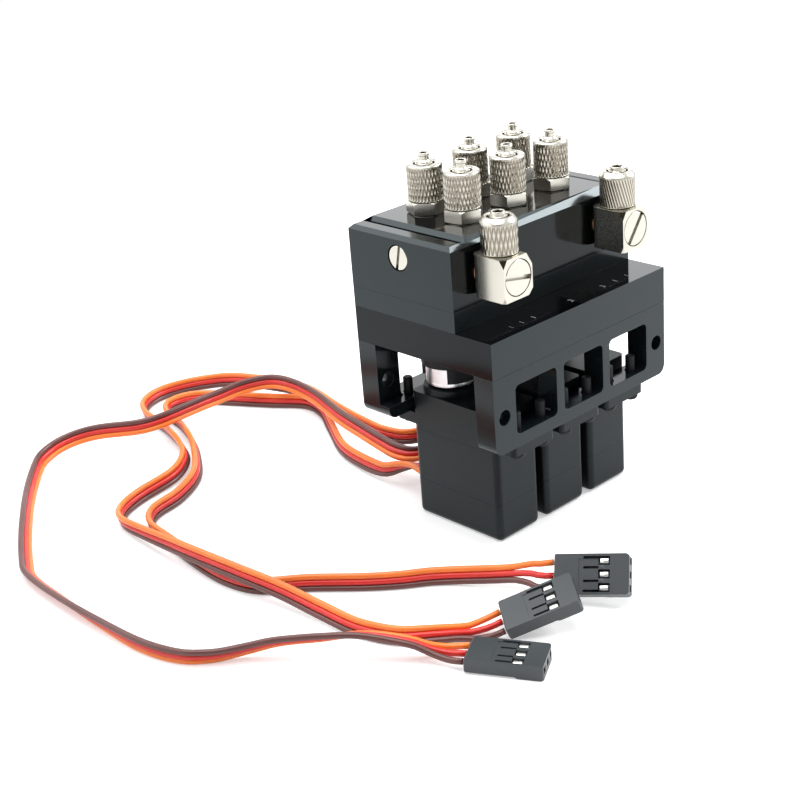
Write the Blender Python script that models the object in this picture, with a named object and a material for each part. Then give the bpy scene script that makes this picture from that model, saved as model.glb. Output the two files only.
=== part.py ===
"""Three-channel rotary valve block driven by three micro servos.

Run it with: blender --background --python part.py
Units are metres and +Z is up. The long side of the valve block lies along X, the two elbow
fittings are on its -Y side, the servo leads leave towards +Y, and the servos stand on Z = 0.
"""

import math

import bmesh
import bpy
from mathutils import Euler, Matrix, Vector

# ---------------------------------------------------------------------------------------------
# Driving dimensions
# ---------------------------------------------------------------------------------------------

# Clearances
SEAM = 0.0003                      # left between faces that are laid or bolted together
RUNNING_GAP = 0.0003               # radial gap round a piece that turns
ROUND_SEGMENTS = 20
SMALL_SEGMENTS = 10
SPOOL_SEGMENTS = 16

# Channels
CHANNEL_NAMES = ("1", "2", "3")
CHANNEL_PITCH = 0.01404

# Servo
SERVO_WIDTH = 0.0120
SERVO_LENGTH = 0.0230
SERVO_CORNER_RADIUS = 0.0008
BOTTOM_COVER_HEIGHT = 0.0080
BOTTOM_CHAMFER = 0.0010
MIDDLE_CASE_HEIGHT = 0.0114
TOP_CASE_HEIGHT = 0.0083
TAB_RISE = 0.00095                 # tab underside above the seam of the top case
TAB_THICKNESS = 0.0024
TAB_REACH = 0.00472                # past each end of the case
TAB_CORNER_RADIUS = 0.0010
TOWER_RADIUS = 0.0058
TOWER_HEIGHT = 0.0015
SHAFT_RADIUS = 0.0015
SHAFT_DEPTH = 0.0050
RELIEF_WIDTH = 0.0044
RELIEF_HEIGHT = 0.0024
RELIEF_DEPTH = 0.0009
RELIEF_TOP_DROP = 0.0008           # below the top of the bottom cover

# Servo screws
SCREW_SPREAD = 0.00355             # each side of the servo's centre line
SCREW_OVERHANG = 0.0033            # past the end of the case
SCREW_RADIUS = 0.0010
SCREW_HOLE_RADIUS = 0.0013
SCREW_HEAD_RADIUS = 0.0015
SCREW_HEAD_HEIGHT = 0.00105
SCREW_LENGTH = 0.0087              # under the head

# Bracket
END_MARGIN = 0.01196               # from the axis of an outer channel to the bracket's end
WALL_MARGINS = {"front": 0.00246, "rear": 0.00464}  # outside each row of servo screws
WALL_HEIGHT = 0.01555
WALL_THICKNESS = 0.0049
WALL_FOOT_RADIUS = 0.0020
RAIL_HEIGHT = 0.0026               # solid strip under the windows
WINDOW_WIDTH = 0.01186
WINDOW_HEIGHT = 0.01013
WINDOW_RADIUS = 0.0011
SIDE_HOLE_RADIUS = 0.00155
SIDE_HOLE_INSET = 0.0028           # from the end of the wall
SIDE_HOLE_HEIGHT = 0.00735         # above the foot of the wall
LEDGE_WIDTH = 0.0027               # inner lip at the foot of the rear wall
TOP_PLATE_THICKNESS = 0.0071

# Valve block
BLOCK_DEPTH = 0.0276
BASE_PLATE_THICKNESS = 0.0040
BLOCK_HEIGHT = 0.0129
CAP_LENGTH = 0.0041                # end cap, from the end of the block to the raised middle
CAP_DROP = 0.00055                 # top of the cap below the raised middle
CAP_CHAMFER = 0.0008
DECK_CHAMFER = 0.0014
BORE_CEILING = 0.0040              # solid metal above each spool bore

# Spools and couplings
SPOOL_RADIUS = 0.0028
SPOOL_WAIST_RADIUS = 0.0019
PORT_HEIGHT = 0.0030
PORT_DROP = 0.0022                 # port waist below the spool's top
SEAL_GROOVE_DEPTH = 0.0005
SEAL_GROOVE_HEIGHT = 0.0012
COLLAR_RADIUS = 0.0059
DISC_RADIUS = 0.0051
DISC_THICKNESS = 0.0009
JAW_HEIGHT = 0.0030
JAW_INNER_RADIUS = 0.0022
JAW_SECTOR = math.radians(86)
JAW_START = math.radians(129.6)

# Gallery plug
GALLERY_PLUG_RADIUS = 0.00245
GALLERY_PLUG_LENGTH = 0.0044
GALLERY_PLUG_DROP = 0.0050         # its axis below the top of the block
GALLERY_PLUG_SINK = 0.0001
SLOT_DEPTH = 0.0008
GALLERY_SLOT_WIDTH = 0.0006
GALLERY_SLOT_ANGLE = math.radians(-10)

# Hose fittings on the deck
COLUMN_PITCH = 0.01286
ROW_PITCH = 0.0100
HEX_FLATS = 0.0070
HEX_HEIGHT = 0.0023
HEX_CHAMFER = 0.0005
FLANGE_RADIUS = 0.0033
FLANGE_HEIGHT = 0.0002
SPIGOT_RADIUS = 0.0018
SPIGOT_LENGTH = 0.0028
STEM_RADIUS = 0.0013
LIP_RADIUS = 0.0016
LIP_HEIGHT = 0.0009
STEM_BORE_RADIUS = 0.0008
STEM_BORE_DEPTH = 0.0050
DECK_STEM_HEIGHT = 0.0091          # above the hexagon
HEX_TURNS = {"front": 0.0, "rear": 30.0}

# Knurled nuts
NUT_RADIUS = 0.00358
NUT_HEIGHT = 0.0069
NUT_RIM_HEIGHT = 0.0007
NUT_RIM_CHAMFER = 0.0004
NUT_MOUTH_RADIUS = 0.0023
KNURL_DEPTH = 0.0003
KNURL_COLUMNS = 18
KNURL_ROWS = 6
ELBOW_NUT_HEIGHT = 0.0068
ELBOW_NUT_RIM_HEIGHT = 0.0010

# Elbow fittings
ELBOW_INSET = 0.00865              # from the end of the block
ELBOW_DROP = 0.0069                # bolt axis below the top of the block
ELBOW_WIDTH = 0.0078
ELBOW_DEPTH = 0.00848
ELBOW_FALL = 0.0042                # from the bolt axis to the foot of the elbow
ELBOW_RISE = 0.0042                # from the bolt axis to the top of the elbow
ELBOW_CORNER_CUT = 0.0022
ELBOW_EDGE_RADIUS = 0.0012
ELBOW_NUT_SETBACK = 0.0044         # from the block's front face to the nut's axis
ELBOW_STEM_HEIGHT = 0.0076
BOLT_HEAD_RADIUS = 0.0034
BOLT_HEAD_GAP = 0.00025
BOLT_HEAD_THICKNESS = 0.0016
BOLT_SHANK_RADIUS = 0.0019
BOLT_REACH = 0.0045                # into the block
BOLT_SLOT_WIDTH = 0.0009
BOLT_SLOT_ANGLES = (11.0, -52.0)
WASHER_RADIUS = 0.0028
WASHER_THICKNESS = 0.0004

# Servo plugs: corner of the rear end, then the turns about Z, Y and X in degrees
PLUG_LENGTH = 0.0142
PLUG_WIDTH = 0.0077
PLUG_THICKNESS = 0.0026
PLUG_EDGE = 0.0004
PLUG_NOSE_LENGTH = 0.0050
PLUG_NOSE_STEP = 0.0003
CONTACT_PITCH = 0.00254
CONTACT_SOCKET = 0.0013
CONTACT_SOCKET_DEPTH = 0.0070
LATCH_LENGTH = 0.0022
LATCH_WIDTH = 0.0015
LATCH_DEPTH = 0.0008
LATCH_SETBACK = 0.0036             # from the nose
PLUG_PLACES = {
    "1": ((-0.0270, -0.0332, 0.0031), (-61.0, 6.0, 49.0)),
    "2": ((-0.0550, -0.0367, 0.0004), (-61.0, 0.0, 0.0)),
    "3": ((-0.0432, -0.0350, 0.0011), (-41.0, 20.0, 12.0)),
}

# Servo leads: hand-chosen way points in millimetres, from servo to plug
LEAD_DIAMETER = 0.0024
LEAD_STEP = 3.0                    # spacing of the spline's points, in diameters
LEAD_ROUTES = {
    "1": (
        (-14.0, 14.5, 6.0), (-13.5, 18.3, 5.8), (-14.1, 22.0, 4.6), (-15.2, 26.4, 3.0),
        (-14.0, 35.0, 2.2), (-11.6, 43.7, 2.0), (-5.2, 54.8, 1.9), (-0.6, 62.8, 1.9),
        (0.6, 70.0, 1.8), (-4.2, 78.0, 1.8), (-9.0, 86.5, 1.8), (-14.2, 94.6, 1.8),
        (-20.7, 96.2, 1.8), (-24.6, 92.2, 1.8), (-26.3, 85.1, 1.8), (-29.4, 77.0, 1.8),
        (-33.6, 69.4, 1.8), (-40.6, 60.2, 1.8), (-49.2, 54.9, 1.8), (-57.6, 52.6, 1.8),
        (-61.9, 47.8, 1.8), (-63.3, 40.1, 1.8), (-65.0, 28.1, 1.8), (-65.4, 18.1, 1.8),
        (-63.2, 10.6, 1.8), (-56.5, 4.0, 1.8), (-49.7, -4.0, 1.8), (-44.7, -9.0, 1.8),
        (-38.8, -14.0, 1.8), (-33.4, -21.8, 2.5), (-30.0, -28.6, 3.6),
    ),
    "2": (
        (0.0, 14.0, 6.0), (-3.0, 18.4, 6.0), (-10.0, 21.4, 6.1), (-11.9, 25.2, 6.5),
        (-11.6, 30.7, 7.0), (-10.6, 38.0, 7.5), (-9.3, 46.1, 8.0), (-5.2, 59.6, 8.0),
        (-2.9, 70.5, 7.3), (-3.9, 77.4, 6.9), (-9.2, 80.9, 6.5), (-16.4, 81.6, 6.3),
        (-22.4, 81.6, 6.4), (-28.5, 81.3, 6.5), (-34.1, 81.5, 6.4), (-38.9, 83.7, 6.0),
        (-44.4, 90.8, 5.0), (-48.2, 94.6, 4.0), (-52.6, 96.4, 3.0), (-57.4, 95.4, 2.4),
        (-61.2, 92.6, 2.0), (-70.2, 81.9, 1.8), (-79.8, 68.2, 1.8), (-86.9, 56.6, 1.8),
        (-89.6, 50.4, 1.8), (-90.6, 38.6, 1.8), (-91.1, 23.9, 1.8), (-90.8, 11.6, 1.8),
        (-88.5, 3.0, 1.8), (-84.6, -1.6, 1.8), (-79.6, -5.4, 2.4), (-75.6, -9.8, 3.6),
        (-70.9, -15.6, 4.4), (-65.9, -20.8, 4.6), (-61.8, -26.2, 3.8), (-58.2, -31.4, 2.4),
    ),
    "3": (
        (14.0, 14.5, 6.0), (13.0, 19.6, 6.0), (8.0, 24.6, 6.0), (1.0, 26.6, 6.0),
        (-4.6, 29.2, 6.0), (-6.4, 34.2, 6.0), (-6.3, 39.0, 6.0), (-3.2, 53.0, 5.2),
        (0.2, 67.4, 5.0), (0.4, 78.0, 4.2), (-2.4, 92.6, 3.0), (-6.8, 99.6, 2.2),
        (-12.8, 103.4, 1.8), (-19.4, 104.0, 1.8), (-25.0, 101.2, 1.8), (-28.2, 95.6, 1.8),
        (-30.2, 85.6, 2.0), (-34.0, 74.6, 2.4), (-37.9, 67.8, 2.4), (-44.6, 63.2, 2.2),
        (-54.7, 61.6, 1.8), (-61.6, 58.6, 1.8), (-65.0, 53.6, 2.2), (-65.8, 45.0, 2.9),
        (-66.3, 35.0, 3.9), (-66.7, 26.0, 4.7), (-65.6, 13.8, 4.6), (-63.6, 3.9, 3.5),
        (-62.5, -6.0, 2.5), (-61.4, -15.2, 1.8), (-58.6, -22.8, 1.6), (-53.6, -27.6, 1.5),
        (-48.6, -31.4, 1.4),
    ),
}

# ---------------------------------------------------------------------------------------------
# Sizes that follow from the ones above
# ---------------------------------------------------------------------------------------------

MILLIMETRE = 0.001
CHANNEL_X = {name: (index - 1) * CHANNEL_PITCH for index, name in enumerate(CHANNEL_NAMES)}

HALF_LENGTH = CHANNEL_PITCH + END_MARGIN
ELBOW_SPREAD = HALF_LENGTH - ELBOW_INSET

# Front and rear are placed from the valves' axes, and the bracket's middle is then at Y = 0.
TO_SERVO_REAR = TOWER_RADIUS + 0.00006
TO_SERVO_FRONT = SERVO_LENGTH - TO_SERVO_REAR
TO_BRACKET_REAR = TO_SERVO_REAR + SCREW_OVERHANG + WALL_MARGINS["rear"]
TO_BRACKET_FRONT = TO_SERVO_FRONT + SCREW_OVERHANG + WALL_MARGINS["front"]
VALVE_Y = (TO_BRACKET_FRONT - TO_BRACKET_REAR) / 2
SERVO_REAR = VALVE_Y + TO_SERVO_REAR
SERVO_FRONT = VALVE_Y - TO_SERVO_FRONT
BRACKET_REAR = VALVE_Y + TO_BRACKET_REAR
BRACKET_FRONT = VALVE_Y - TO_BRACKET_FRONT
BLOCK_REAR = VALVE_Y + BLOCK_DEPTH / 2
BLOCK_FRONT = VALVE_Y - BLOCK_DEPTH / 2
MIDDLE_CASE_TOP = BOTTOM_COVER_HEIGHT + MIDDLE_CASE_HEIGHT
CASE_TOP = MIDDLE_CASE_TOP + TOP_CASE_HEIGHT
TAB_LOW = MIDDLE_CASE_TOP + TAB_RISE
TAB_HIGH = TAB_LOW + TAB_THICKNESS
TOWER_TOP = CASE_TOP + TOWER_HEIGHT
SCREW_ROWS = {"front": SERVO_FRONT - SCREW_OVERHANG, "rear": SERVO_REAR + SCREW_OVERHANG}

WALL_LOW = TAB_HIGH + SEAM
WALL_HIGH = WALL_LOW + WALL_HEIGHT
TOP_PLATE_LOW = WALL_HIGH + SEAM
TOP_PLATE_HIGH = TOP_PLATE_LOW + TOP_PLATE_THICKNESS
BASE_PLATE_LOW = TOP_PLATE_HIGH + SEAM
BASE_PLATE_HIGH = BASE_PLATE_LOW + BASE_PLATE_THICKNESS
BLOCK_LOW = BASE_PLATE_HIGH + SEAM
DECK = BLOCK_LOW + BLOCK_HEIGHT

DISC_LOW = TOWER_TOP + SEAM
DISC_HIGH = DISC_LOW + DISC_THICKNESS
JAW_TOP = DISC_HIGH + JAW_HEIGHT
COLLAR_LOW = JAW_TOP + SEAM
COLLAR_HIGH = TOP_PLATE_LOW - SEAM
SPOOL_TOP = DECK - BORE_CEILING - SEAM
BORE_RADIUS = SPOOL_RADIUS + RUNNING_GAP

HEX_LOW = DECK + SEAM + FLANGE_HEIGHT
HEX_HIGH = HEX_LOW + HEX_HEIGHT
BOLT_AXIS_Z = DECK - ELBOW_DROP
ELBOW_FRONT = BLOCK_FRONT - SEAM - ELBOW_DEPTH
ELBOW_REAR = BLOCK_FRONT - SEAM
ELBOW_TOP = BOLT_AXIS_Z + ELBOW_RISE
ELBOW_NUT_Y = BLOCK_FRONT - ELBOW_NUT_SETBACK
BOLT_HOLE_RADIUS = BOLT_SHANK_RADIUS + RUNNING_GAP


# ---------------------------------------------------------------------------------------------
# Helpers
# ---------------------------------------------------------------------------------------------

def clear_scene():
    for old in list(bpy.data.objects):
        bpy.data.objects.remove(old, do_unlink=True)


def make_material(name, colour, roughness, metallic=0.0):
    material = bpy.data.materials.new(name)
    material.use_nodes = True
    shader = material.node_tree.nodes["Principled BSDF"]
    shader.inputs["Base Color"].default_value = (*colour, 1.0)
    shader.inputs["Roughness"].default_value = roughness
    shader.inputs["Metallic"].default_value = metallic
    return material


def add_object(name, shape):
    """Puts a finished bmesh in the scene as an object, with its faces pointing out."""
    bmesh.ops.recalc_face_normals(shape, faces=shape.faces)
    mesh = bpy.data.meshes.new(name)
    shape.to_mesh(mesh)
    shape.free()
    made = bpy.data.objects.new(name, mesh)
    bpy.context.scene.collection.objects.link(made)
    return made


def along(axis, first, second, distance):
    """A point from two coordinates across an axis and one along it."""
    if axis == "X":
        return Vector((distance, first, second))
    if axis == "Y":
        return Vector((first, distance, second))
    return Vector((first, second, distance))


def prism(name, axis, outline, low, high):
    """An outline carried along an axis from low to high."""
    shape = bmesh.new()
    ends = []
    for distance in (low, high):
        ends.append([shape.verts.new(along(axis, u, v, distance)) for u, v in outline])
    count = len(outline)
    for end in ends:
        shape.faces.new(end)
    for index in range(count):
        after = (index + 1) % count
        shape.faces.new((ends[0][index], ends[0][after], ends[1][after], ends[1][index]))
    return add_object(name, shape)


def block(name, low, high):
    """A plain box from its lowest to its highest corner."""
    outline = ((low[0], low[1]), (high[0], low[1]), (high[0], high[1]), (low[0], high[1]))
    return prism(name, "Z", outline, low[2], high[2])


def arc(centre, radius, start, end, steps):
    """Points on an arc, with the angles in radians."""
    points = []
    for step in range(steps + 1):
        angle = start + (end - start) * step / steps
        points.append((centre[0] + radius * math.cos(angle), centre[1] + radius * math.sin(angle)))
    return points


def rounded_rectangle(low, high, radii, steps=3):
    """A rectangle whose corners, from the low corner and counter-clockwise, have these radii."""
    corners = (
        (low[0], low[1], 1, 1, math.pi),
        (high[0], low[1], -1, 1, 1.5 * math.pi),
        (high[0], high[1], -1, -1, 0.0),
        (low[0], high[1], 1, -1, 0.5 * math.pi),
    )
    outline = []
    for (x, y, inward_x, inward_y, start), radius in zip(corners, radii):
        if radius == 0:
            outline.append((x, y))
            continue
        centre = (x + inward_x * radius, y + inward_y * radius)
        outline += arc(centre, radius, start, start + math.pi / 2, steps)
    return outline


def join_rows(shape, rows, closed):
    """Faces between neighbouring rows of points; a row of one point closes to a tip."""
    pairs = list(zip(rows, rows[1:]))
    if closed:
        pairs.append((rows[-1], rows[0]))
    for lower, upper in pairs:
        count = max(len(lower), len(upper))
        for index in range(count):
            after = (index + 1) % count
            corners = (
                lower[index % len(lower)],
                lower[after % len(lower)],
                upper[after % len(upper)],
                upper[index % len(upper)],
            )
            shape.faces.new(tuple(dict.fromkeys(corners)))


def ring_of_points(shape, radius, height, segments):
    if radius == 0:
        return [shape.verts.new((0, 0, height))]
    turn = 2 * math.pi / segments
    return [
        shape.verts.new((radius * math.cos(turn * step), radius * math.sin(turn * step), height))
        for step in range(segments)
    ]


def turned(name, profile, segments):
    """A solid turned about Z from (radius, height) pairs; without ends on the axis it is a ring."""
    shape = bmesh.new()
    rows = [ring_of_points(shape, radius, height, segments) for radius, height in profile]
    closed = profile[0][0] > 0 and profile[-1][0] > 0
    join_rows(shape, rows, closed)
    return add_object(name, shape)


def cylinder(name, radius, low, high, segments=SMALL_SEGMENTS):
    return turned(name, ((0, low), (radius, low), (radius, high), (0, high)), segments)


def sector(name, inner, outer, start, sweep, low, high, steps=5):
    """A piece of a ring, such as a coupling jaw."""
    outline = arc((0, 0), outer, start, start + sweep, steps)
    outline += reversed(arc((0, 0), inner, start, start + sweep, steps))
    return prism(name, "Z", outline, low, high)


def put(thing, place):
    """Moves the mesh itself, so that the object stays at its own origin."""
    thing.data.transform(place)
    return thing


def shift(x, y, z):
    return Matrix.Translation((x, y, z))


def bake(thing):
    """Replaces the object's mesh with what its modifiers make of it."""
    bpy.context.view_layer.update()
    graph = bpy.context.evaluated_depsgraph_get()
    mesh = bpy.data.meshes.new_from_object(thing.evaluated_get(graph))
    old = thing.data
    thing.modifiers.clear()
    thing.data = mesh
    bpy.data.meshes.remove(old)
    mesh.name = thing.name


def combine(thing, other, operation):
    """Joins another solid on (UNION), cuts it away (DIFFERENCE) or keeps what both share."""
    modifier = thing.modifiers.new("combine", "BOOLEAN")
    modifier.operation = operation
    modifier.solver = "EXACT"
    modifier.object = other
    bake(thing)
    bpy.data.objects.remove(other, do_unlink=True)


def bevel_edges(thing, width, chosen, segments=1):
    """Bevels the edges that the function chosen accepts."""
    shape = bmesh.new()
    shape.from_mesh(thing.data)
    edges = [edge for edge in shape.edges if chosen(edge)]
    bmesh.ops.bevel(shape, geom=edges, offset=width, segments=segments, affect="EDGES", profile=0.5)
    bmesh.ops.recalc_face_normals(shape, faces=shape.faces)
    shape.to_mesh(thing.data)
    shape.free()


def all_at_height(edge, height):
    return all(abs(vertex.co.z - height) < 1e-6 for vertex in edge.verts)


def finish(thing, material, smooth_angle=30):
    """Gives a sub-part its material and its shading."""
    thing.data.materials.clear()
    thing.data.materials.append(material)
    for face in thing.data.polygons:
        face.use_smooth = True
        face.material_index = 0
    thing.data.set_sharp_from_angle(angle=math.radians(smooth_angle))
    return thing


def copy_of(thing, name):
    """Another object with the same mesh."""
    made = bpy.data.objects.new(name, thing.data)
    bpy.context.scene.collection.objects.link(made)
    return made


# ---------------------------------------------------------------------------------------------
# Servo
# ---------------------------------------------------------------------------------------------

def case_outline():
    half = SERVO_WIDTH / 2
    radii = (SERVO_CORNER_RADIUS,) * 4
    return rounded_rectangle((-half, SERVO_FRONT), (half, SERVO_REAR), radii, steps=2)


def bottom_cover():
    cover = prism("bottom_cover", "Z", case_outline(), 0.0, BOTTOM_COVER_HEIGHT)
    bevel_edges(cover, BOTTOM_CHAMFER, lambda edge: all_at_height(edge, 0.0))
    relief_high = BOTTOM_COVER_HEIGHT - RELIEF_TOP_DROP
    relief = block(
        "relief",
        (-RELIEF_WIDTH / 2, SERVO_REAR - BOTTOM_CHAMFER, relief_high - RELIEF_HEIGHT),
        (RELIEF_WIDTH / 2, SERVO_REAR + RELIEF_DEPTH, relief_high),
    )
    combine(cover, relief, "UNION")
    return cover


def middle_case():
    low = BOTTOM_COVER_HEIGHT + SEAM
    return prism("middle_case", "Z", case_outline(), low, MIDDLE_CASE_TOP)


def top_case():
    """Gear housing with its two tabs, its round tower, its shaft bore and its screw holes."""
    case = prism("top_case", "Z", case_outline(), MIDDLE_CASE_TOP + SEAM, CASE_TOP)
    half = SERVO_WIDTH / 2
    tab_outline = rounded_rectangle(
        (-half, SERVO_FRONT - TAB_REACH),
        (half, SERVO_REAR + TAB_REACH),
        (TAB_CORNER_RADIUS,) * 4,
    )
    combine(case, prism("tabs", "Z", tab_outline, TAB_LOW, TAB_HIGH), "UNION")
    tower_low = CASE_TOP - TAB_THICKNESS
    tower = cylinder("tower", TOWER_RADIUS, tower_low, TOWER_TOP, ROUND_SEGMENTS)
    combine(case, put(tower, shift(0, VALVE_Y, 0)), "UNION")
    bore_low = TOWER_TOP - SHAFT_DEPTH
    bore = cylinder("bore", SHAFT_RADIUS + RUNNING_GAP, bore_low, TOWER_TOP + SEAM)
    combine(case, put(bore, shift(0, VALVE_Y, 0)), "DIFFERENCE")
    for y in SCREW_ROWS.values():
        for side in (-1, 1):
            hole = cylinder("hole", SCREW_HOLE_RADIUS, TAB_LOW - SEAM, TAB_HIGH + SEAM, 8)
            combine(case, put(hole, shift(side * SCREW_SPREAD, y, 0)), "DIFFERENCE")
    return case


def servo_screw():
    """Pan-head screw that points up, with the underside of its head at Z = 0."""
    crown = SCREW_HEAD_HEIGHT
    profile = (
        (0, -crown),
        (SCREW_HEAD_RADIUS * 0.6, -crown),
        (SCREW_HEAD_RADIUS, -crown * 0.45),
        (SCREW_HEAD_RADIUS, 0),
        (SCREW_RADIUS, 0),
        (SCREW_RADIUS, SCREW_LENGTH),
        (0, SCREW_LENGTH),
    )
    return turned("servo_screw", profile, 8)


def build_servos(plastic, steel):
    pieces = {
        "servo_bottom_cover": finish(bottom_cover(), plastic),
        "servo_middle_case": finish(middle_case(), plastic),
        "servo_top_case": finish(top_case(), plastic),
    }
    screw = finish(servo_screw(), steel)
    for channel in CHANNEL_NAMES:
        for kind, pattern in pieces.items():
            piece = copy_of(pattern, f"{kind}_{channel}")
            piece.location.x = CHANNEL_X[channel]
        for row, y in SCREW_ROWS.items():
            for side, sign in (("left", -1), ("right", 1)):
                piece = copy_of(screw, f"servo_screw_{channel}_{row}_{side}")
                x = CHANNEL_X[channel] + sign * SCREW_SPREAD
                piece.location = (x, y, TAB_LOW - SEAM)
    for pattern in list(pieces.values()) + [screw]:
        bpy.data.objects.remove(pattern, do_unlink=True)


# ---------------------------------------------------------------------------------------------
# Bracket
# ---------------------------------------------------------------------------------------------

def bracket_wall(name, low_y, high_y, screw_y, ledge):
    """A windowed wall; the rear one has an inner ledge that carries the servo screws."""
    outline = rounded_rectangle(
        (-HALF_LENGTH, WALL_LOW),
        (HALF_LENGTH, WALL_HIGH),
        (WALL_FOOT_RADIUS, WALL_FOOT_RADIUS, 0, 0),
    )
    wall = prism(name, "Y", outline, low_y, high_y)
    if ledge:
        lip = rounded_rectangle(
            (-HALF_LENGTH, WALL_LOW),
            (HALF_LENGTH, WALL_LOW + RAIL_HEIGHT),
            (WALL_FOOT_RADIUS, WALL_FOOT_RADIUS, 0, 0),
        )
        combine(wall, prism("lip", "Y", lip, low_y - LEDGE_WIDTH, low_y + SEAM), "UNION")
    for x in CHANNEL_X.values():
        window = rounded_rectangle(
            (x - WINDOW_WIDTH / 2, WALL_LOW + RAIL_HEIGHT),
            (x + WINDOW_WIDTH / 2, WALL_LOW + RAIL_HEIGHT + WINDOW_HEIGHT),
            (WINDOW_RADIUS,) * 4,
        )
        hollow = prism("window", "Y", window, low_y - SEAM, high_y + SEAM)
        combine(wall, hollow, "DIFFERENCE")
    for side in (-1, 1):
        centre = (side * (HALF_LENGTH - SIDE_HOLE_INSET), WALL_LOW + SIDE_HOLE_HEIGHT)
        ring = arc(centre, SIDE_HOLE_RADIUS, 0, 2 * math.pi, 16)[:-1]
        combine(wall, prism("hole", "Y", ring, low_y - SEAM, high_y + SEAM), "DIFFERENCE")
    for x in CHANNEL_X.values():
        for side in (-1, 1):
            centre = (x + side * SCREW_SPREAD, screw_y)
            ring = arc(centre, SCREW_HOLE_RADIUS, 0, 2 * math.pi, 8)[:-1]
            hole = prism("hole", "Z", ring, WALL_LOW - SEAM, WALL_LOW + RAIL_HEIGHT + SEAM)
            combine(wall, hole, "DIFFERENCE")
    return wall


def bored_plate(name, front, rear, low, high):
    """A plate over the whole length, with a clearance bore for each spool."""
    plate = block(name, (-HALF_LENGTH, front, low), (HALF_LENGTH, rear, high))
    for x in CHANNEL_X.values():
        bore = cylinder("bore", BORE_RADIUS, low - SEAM, high + SEAM, SPOOL_SEGMENTS)
        combine(plate, put(bore, shift(x, VALVE_Y, 0)), "DIFFERENCE")
    return plate


def build_bracket(metal):
    front = BRACKET_FRONT
    rear = BRACKET_REAR
    front_wall = bracket_wall(
        "bracket_front_wall", front, front + WALL_THICKNESS, SCREW_ROWS["front"], False
    )
    rear_wall = bracket_wall(
        "bracket_rear_wall", rear - WALL_THICKNESS, rear, SCREW_ROWS["rear"], True
    )
    top_plate = bored_plate("bracket_top_plate", front, rear, TOP_PLATE_LOW, TOP_PLATE_HIGH)
    for piece in (front_wall, rear_wall, top_plate):
        finish(piece, metal)


# ---------------------------------------------------------------------------------------------
# Valve block
# ---------------------------------------------------------------------------------------------

def block_front_view():
    """End caps, a V groove inside each, and the raised middle with its chamfers."""
    cap_top = DECK - CAP_DROP
    middle = HALF_LENGTH - CAP_LENGTH
    groove = DECK - DECK_CHAMFER
    right = [
        (HALF_LENGTH, BLOCK_LOW),
        (HALF_LENGTH, cap_top - CAP_CHAMFER),
        (HALF_LENGTH - CAP_CHAMFER, cap_top),
        (middle + cap_top - groove, cap_top),
        (middle, groove),
        (middle - DECK_CHAMFER, DECK),
    ]
    left = [(-x, z) for x, z in reversed(right)]
    return right + left


def block_side_view():
    """The chamfered section across the block."""
    return (
        (BLOCK_FRONT, BLOCK_LOW - SEAM),
        (BLOCK_REAR, BLOCK_LOW - SEAM),
        (BLOCK_REAR, DECK - DECK_CHAMFER),
        (BLOCK_REAR - DECK_CHAMFER - SEAM, DECK + SEAM),
        (BLOCK_FRONT + DECK_CHAMFER + SEAM, DECK + SEAM),
        (BLOCK_FRONT, DECK - DECK_CHAMFER),
    )


def fitting_places():
    places = {}
    for row, side in (("front", -1), ("rear", 1)):
        for column in (-1, 0, 1):
            name = f"{row}_{column + 2}"
            places[name] = (column * COLUMN_PITCH, VALVE_Y + side * ROW_PITCH / 2)
    return places


def build_block(metal):
    body = prism("valve_block", "Y", block_front_view(), BLOCK_FRONT, BLOCK_REAR)
    section = prism("section", "X", block_side_view(), -HALF_LENGTH - SEAM, HALF_LENGTH + SEAM)
    combine(body, section, "INTERSECT")
    for x in CHANNEL_X.values():
        top = SPOOL_TOP + SEAM
        bore = cylinder("bore", BORE_RADIUS, BLOCK_LOW - SEAM, top, SPOOL_SEGMENTS)
        combine(body, put(bore, shift(x, VALVE_Y, 0)), "DIFFERENCE")
    port_low = DECK - SPIGOT_LENGTH - SEAM
    for x, y in fitting_places().values():
        port = cylinder("port", SPIGOT_RADIUS + SEAM, port_low, DECK + SEAM)
        combine(body, put(port, shift(x, y, 0)), "DIFFERENCE")
    for side in (-1, 1):
        ring = arc((side * ELBOW_SPREAD, BOLT_AXIS_Z), BOLT_HOLE_RADIUS, 0, 2 * math.pi, 16)[:-1]
        hole = prism("hole", "Y", ring, BLOCK_FRONT - SEAM, BLOCK_FRONT + BOLT_REACH + SEAM)
        combine(body, hole, "DIFFERENCE")
    centre = (VALVE_Y, DECK - GALLERY_PLUG_DROP)
    ring = arc(centre, GALLERY_PLUG_RADIUS + SEAM, 0, 2 * math.pi, 16)[:-1]
    depth = GALLERY_PLUG_SINK + GALLERY_PLUG_LENGTH + SEAM
    hole = prism("hole", "X", ring, -HALF_LENGTH - SEAM, depth - HALF_LENGTH)
    combine(body, hole, "DIFFERENCE")
    finish(body, metal)
    finish(bored_plate("valve_base_plate", BLOCK_FRONT, BLOCK_REAR, BASE_PLATE_LOW, BASE_PLATE_HIGH), metal)


def slotted_cylinder(name, radius, length, slot_width, slot_angle, segments):
    """A plug with its slotted face at Z = length."""
    edge = slot_width / 3
    profile = (
        (0, 0),
        (radius, 0),
        (radius, length - edge),
        (radius - edge, length),
        (0, length),
    )
    plug = turned(name, profile, segments)
    half = slot_width / 2
    slot = block("slot", (-half, -radius * 2, length - SLOT_DEPTH), (half, radius * 2, length + SEAM))
    combine(plug, put(slot, Matrix.Rotation(slot_angle, 4, "Z")), "DIFFERENCE")
    return plug


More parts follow.
